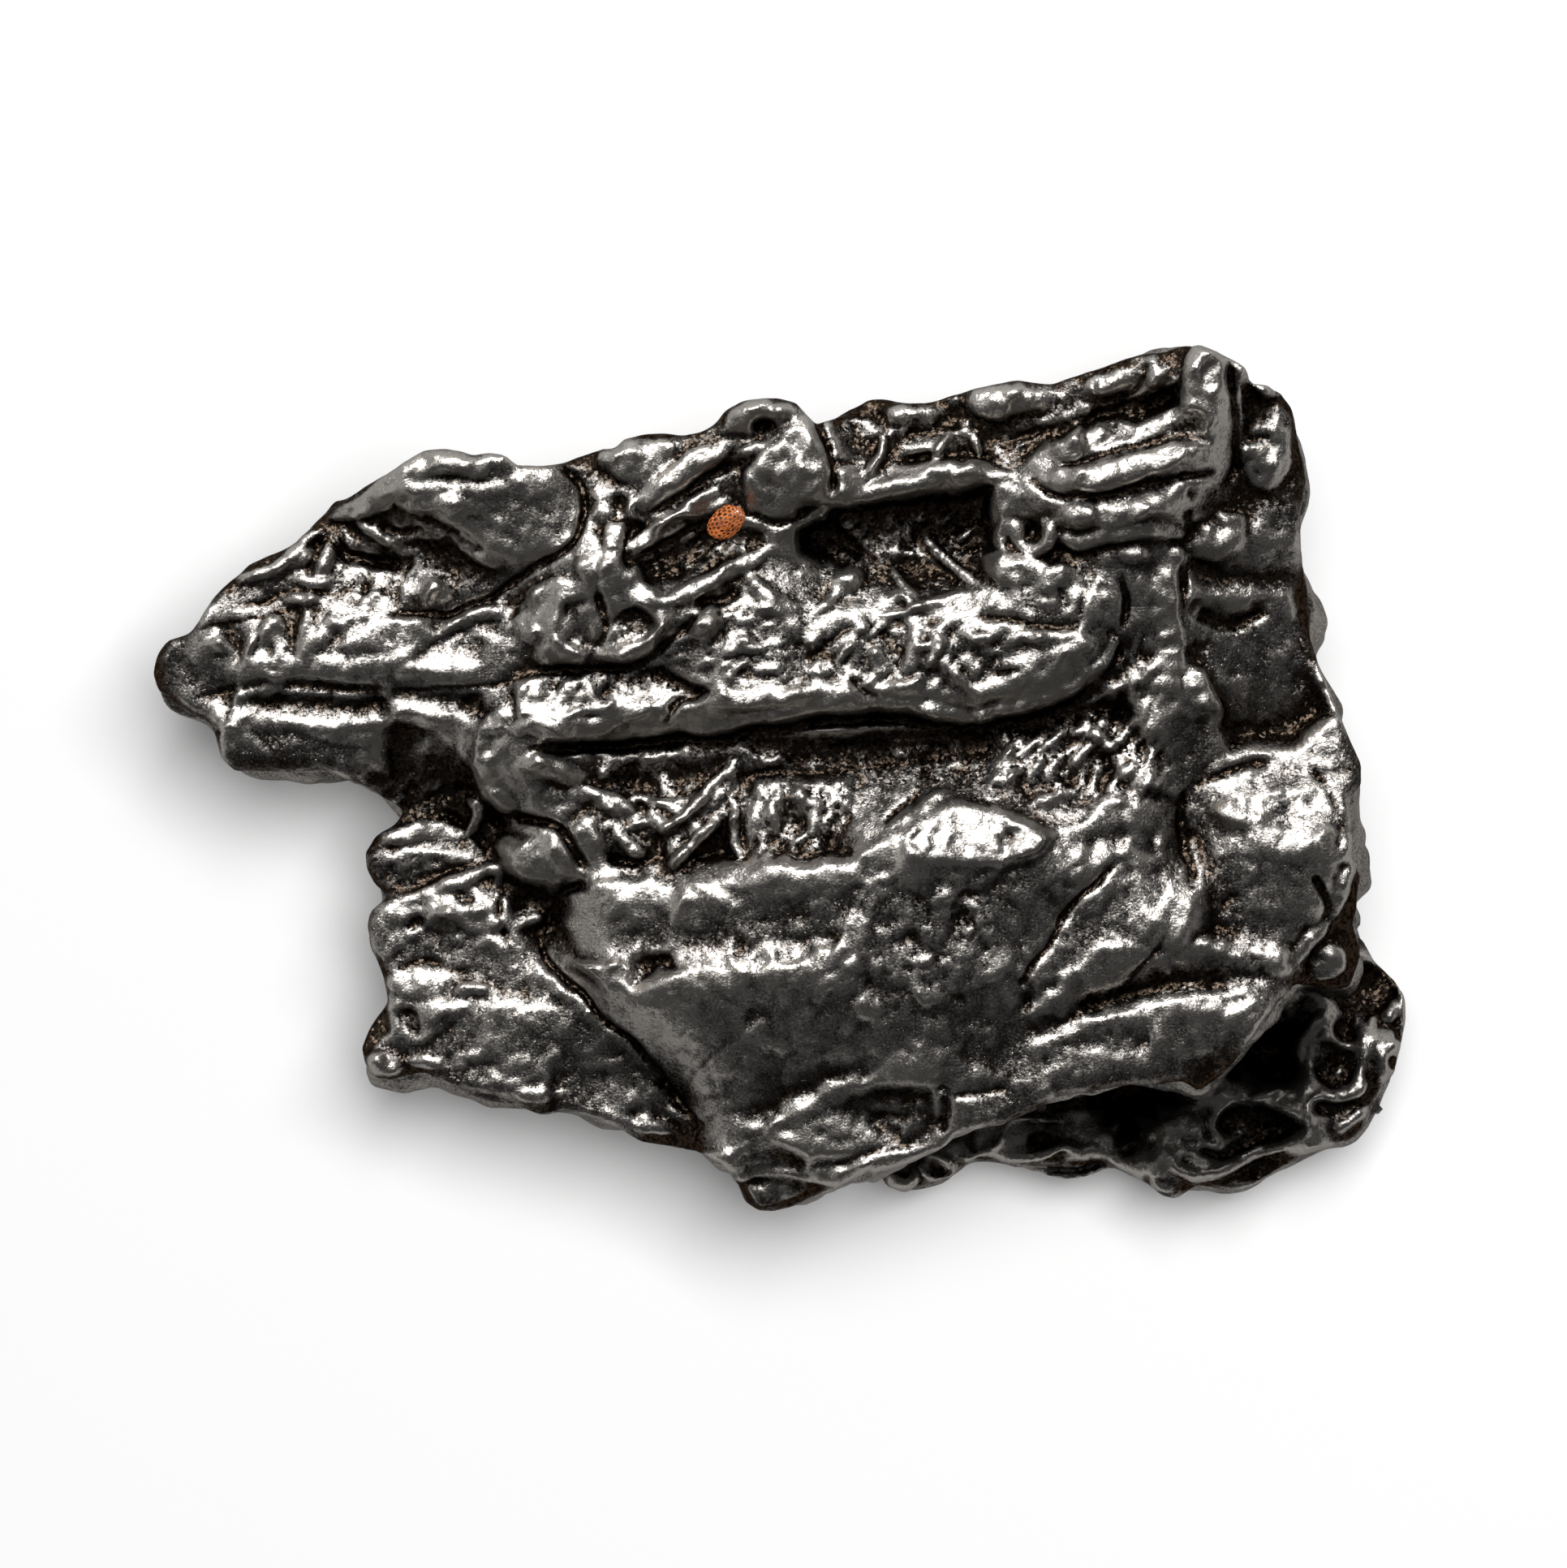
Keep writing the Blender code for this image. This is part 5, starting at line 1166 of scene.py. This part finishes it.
def burnishedIron(look):
    # nickel-iron worn bright on the high ridges and left brown and granular in the furrows, with painted glints
    # on torn grains and painted shade on the rims
    material = bpy.data.materials.new("handWornNickelIron")
    material.use_nodes = True
    tree = material.node_tree
    tree.nodes.clear()
    place = addNode(tree, "ShaderNodeTexCoord").outputs["Object"]
    proudAndRimShade, grit, shine = [addNode(tree, "ShaderNodeAttribute", {"attribute_name": name}).outputs["Fac"]
                          for name in ("proudAndRimShade", "grit", "shine")]
    blotch = addNode(tree, "ShaderNodeTexNoise",
                     {"Scale": 1 / (look["blotchMm"] * mm), "Detail": 7, "Roughness": 0.6},
                     {"Vector": place}).outputs["Fac"]
    speck = addNode(tree, "ShaderNodeTexNoise", {"Scale": 1 / (look["speckMm"] * mm), "Detail": 2},
                    {"Vector": place}).outputs["Fac"]
    cells = addNode(tree, "ShaderNodeTexVoronoi", {"Scale": 1 / (look["grainMm"] * mm)}, {"Vector": place})
    chance = addNode(tree, "ShaderNodeSeparateColor", None, {"Color": cells.outputs["Color"]}).outputs["Red"]
    # painted glint: random grains in torn places are given a lighter colour, as if they caught the light
    paintedGlint = addNode(tree, "ShaderNodeMath", {"operation": "MULTIPLY"}, {0: chance, 1: grit}).outputs[0]
    # wear and painted light: high places and handled places are bright, sunken ones keep their crust, painted
    # glints lighten torn grains and painted shade darkens the rims
    wearAndPaintedLight = addNode(tree, "ShaderNodeMath", {"operation": "MULTIPLY_ADD", 1: 1.5, 2: 0.62},
                   {0: proudAndRimShade}).outputs[0]
    for sign, share in ((shine, 0.3), (grit, -0.5), (blotch, 0.7), (speck, 0.9), (paintedGlint, look["paintedGlint"])):
        wearAndPaintedLight = addNode(tree, "ShaderNodeMath", {"operation": "MULTIPLY_ADD", 1: share},
                       {0: sign, 2: wearAndPaintedLight}).outputs[0]
    wornnessAndPaintedLight = addNode(tree, "ShaderNodeMath", {"operation": "SUBTRACT", 1: 0.8, "use_clamp": True},
                       {0: wearAndPaintedLight}).outputs[0]
    colour = addRamp(tree, wornnessAndPaintedLight, [(0.1, look["furrow"]), (0.45, look["dull"]), (0.9, look["burnished"])])
    low, high, scuffs = look["roughness"]
    rough = addNode(tree, "ShaderNodeMapRange",
                    {"From Min": 0.0, "From Max": 0.9, "To Min": low, "To Max": high},
                    {"Value": wornnessAndPaintedLight}).outputs["Result"]
    rough = addNode(tree, "ShaderNodeMath", {"operation": "MULTIPLY_ADD", 1: scuffs},
                    {0: speck, 2: rough}).outputs[0]
    lean = addNode(tree, "ShaderNodeMapRange",
                   {"From Min": 0.1, "From Max": 0.6, "To Min": look["tornLean"], "To Max": look["wornLean"]},
                   {"Value": wornnessAndPaintedLight})
    crystals = crystalHeight(tree, place, cells)
    height = addNode(tree, "ShaderNodeMath", {"operation": "MULTIPLY"},
                     {0: crystals, 1: lean.outputs["Result"]})
    dimples = addNode(tree, "ShaderNodeTexNoise", {"Scale": 1 / (look["hammerMm"] * mm), "Detail": 3},
                      {"Vector": place})
    hammered = addNode(tree, "ShaderNodeBump", {"Distance": look["hammerDepthMm"] * mm, "Strength": 1.0},
                       {"Height": dimples.outputs["Fac"]})
    torn = addNode(tree, "ShaderNodeBump", {"Distance": 1.0, "Strength": 1.0},
                   {"Height": height.outputs[0], "Normal": hammered.outputs["Normal"]})
    scuffed = addNode(tree, "ShaderNodeBump", {"Distance": look["scuffDepthMm"] * mm, "Strength": 1.0},
                      {"Height": speck, "Normal": torn.outputs["Normal"]})
    surface = addNode(tree, "ShaderNodeBsdfPrincipled",
                      {"Metallic": 1.0, "Specular Tint": [look["edgeTint"]] * 3 + [1.0]},
                      {"Base Color": colour, "Roughness": rough, "Normal": scuffed.outputs["Normal"]})
    addNode(tree, "ShaderNodeOutputMaterial", None, {"Surface": surface.outputs["BSDF"]})
    return material


shard.data.materials.clear()
shard.data.materials.append(burnishedIron(ironLook))
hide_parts("iron_shard")
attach(shard, "root")
print("shard done")

# ---- the sand grain

grainLook = {
    "colour": "A85A20",
    "dark": "7A3A10",
    "sinkMm": 0.45,  # how far it lies down in its furrow
    "crumbMm": 0.25,
    "lumpMm": 0.35,
    "lumpHeightMm": 0.06,
}


def ochreSand(look):
    # iron-stained soil baked dry, matt and crumbly
    material = bpy.data.materials.new("ironStainedSand")
    material.use_nodes = True
    tree = material.node_tree
    tree.nodes.clear()
    place = addNode(tree, "ShaderNodeTexCoord").outputs["Object"]
    crumbs = addNode(tree, "ShaderNodeTexNoise", {"Scale": 1 / (look["crumbMm"] * mm), "Detail": 6},
                     {"Vector": place})
    colour = addRamp(tree, crumbs.outputs["Fac"], [(0.35, look["dark"]), (0.6, look["colour"])])
    bump = addNode(tree, "ShaderNodeBump", {"Distance": 0.05 * mm, "Strength": 0.7},
                   {"Height": crumbs.outputs["Fac"]})
    surface = addNode(tree, "ShaderNodeBsdfPrincipled", {"Roughness": 0.85},
                      {"Base Color": colour, "Normal": bump.outputs["Normal"]})
    addNode(tree, "ShaderNodeOutputMaterial", None, {"Surface": surface.outputs["BSDF"]})
    return material


def makeGrain():
    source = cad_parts["sand_grain"]
    grain = bpy.data.objects.new("sandGrain", source.data.copy())
    bpy.context.scene.collection.objects.link(grain)
    grain.data.transform(source.matrix_world)
    grain.data.transform(Matrix.Translation((0, 0, -grainLook["sinkMm"] * mm)))
    fine = grain.modifiers.new("fine", "SUBSURF")
    fine.levels = fine.render_levels = 2
    baked(grain)
    points, normals = meshPoints(grain.data), meshNormals(grain.data)
    lumps = np.array([noise.noise(Vector(p) / (grainLook["lumpMm"] * mm)) for p in points])
    setPoints(grain.data, points + normals * (lumps * grainLook["lumpHeightMm"] * mm)[:, None])
    grain.data.materials.clear()
    grain.data.materials.append(ochreSand(grainLook))
    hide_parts("sand_grain")
    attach(grain, "root")
    return grain


grain = makeGrain()
print("grain done")

# ---- the table and the lights

studio = {
    "floorMm": 1600,
    "boardGlow": 0.12,  # light passed up through the board
    "worldGrey": 0.075,
    "metalLights": {  # flagged off the board, so they only shape the metal
        "key": {"atMm": (-50, 230, 200), "sizeMm": (320, 170), "watts": 2.6},
        "overhead": {"atMm": (0, 270, 600), "sizeMm": (520, 400), "watts": 0.55},
        "left": {"atMm": (-260, 20, 120), "sizeMm": (160, 160), "watts": 0.08},
    },
    "boardLights": {  # flagged off the metal, so they only light the board and cast the shadow
        "board": {"atMm": (60, 90, 500), "sizeMm": (240, 240), "watts": 2.6},
    },
}


def floorPaint():
    # smooth matt white board, so the shard sits on clean white with a soft shadow
    material = bpy.data.materials.new("mattWhiteBoard")
    material.use_nodes = True
    surface = material.node_tree.nodes["Principled BSDF"]
    surface.inputs["Base Color"].default_value = (0.9, 0.9, 0.9, 1)
    surface.inputs["Roughness"].default_value = 0.9
    surface.inputs["Emission Color"].default_value = (1, 1, 1, 1)
    surface.inputs["Emission Strength"].default_value = studio["boardGlow"]
    return material


def addFloor():
    mesh = bpy.data.meshes.new("whiteBoard")
    form = bmesh.new()
    bmesh.ops.create_grid(form, x_segments=1, y_segments=1, size=studio["floorMm"] / 2 * mm)
    form.to_mesh(mesh)
    form.free()
    mesh.materials.append(floorPaint())
    floor = bpy.data.objects.new("whiteBoard", mesh)
    bpy.context.scene.collection.objects.link(floor)
    return floor


def groupOf(name, things):
    group = bpy.data.collections.new(name)
    for thing in things:
        group.objects.link(thing)
    return group


def addSoftbox(name, box, litThings):
    data = bpy.data.lights.new(name, "AREA")
    data.shape = "RECTANGLE"
    data.size, data.size_y = (side * mm for side in box["sizeMm"])
    data.energy = box["watts"]
    light = bpy.data.objects.new(name, data)
    light.location = Vector(box["atMm"]) * mm
    aim = Vector((0, 0, 8 * mm)) - light.location
    light.rotation_euler = aim.to_track_quat("-Z", "Y").to_euler()
    light.light_linking.receiver_collection = litThings
    bpy.context.scene.collection.objects.link(light)


def addWorld():
    world = bpy.data.worlds.new("dimRoom")
    world.use_nodes = True
    grey = studio["worldGrey"]
    world.node_tree.nodes["Background"].inputs["Color"].default_value = (grey, grey, grey, 1)
    bpy.context.scene.world = world
    bpy.context.scene.view_settings.view_transform = "Standard"


board = groupOf("litBoard", [addFloor()])
metal = groupOf("litMetal", [shard, grain])
for name, box in studio["metalLights"].items():
    addSoftbox(name + "Softbox", box, metal)
for name, box in studio["boardLights"].items():
    addSoftbox(name + "Softbox", box, board)
addWorld()
print("studio done")
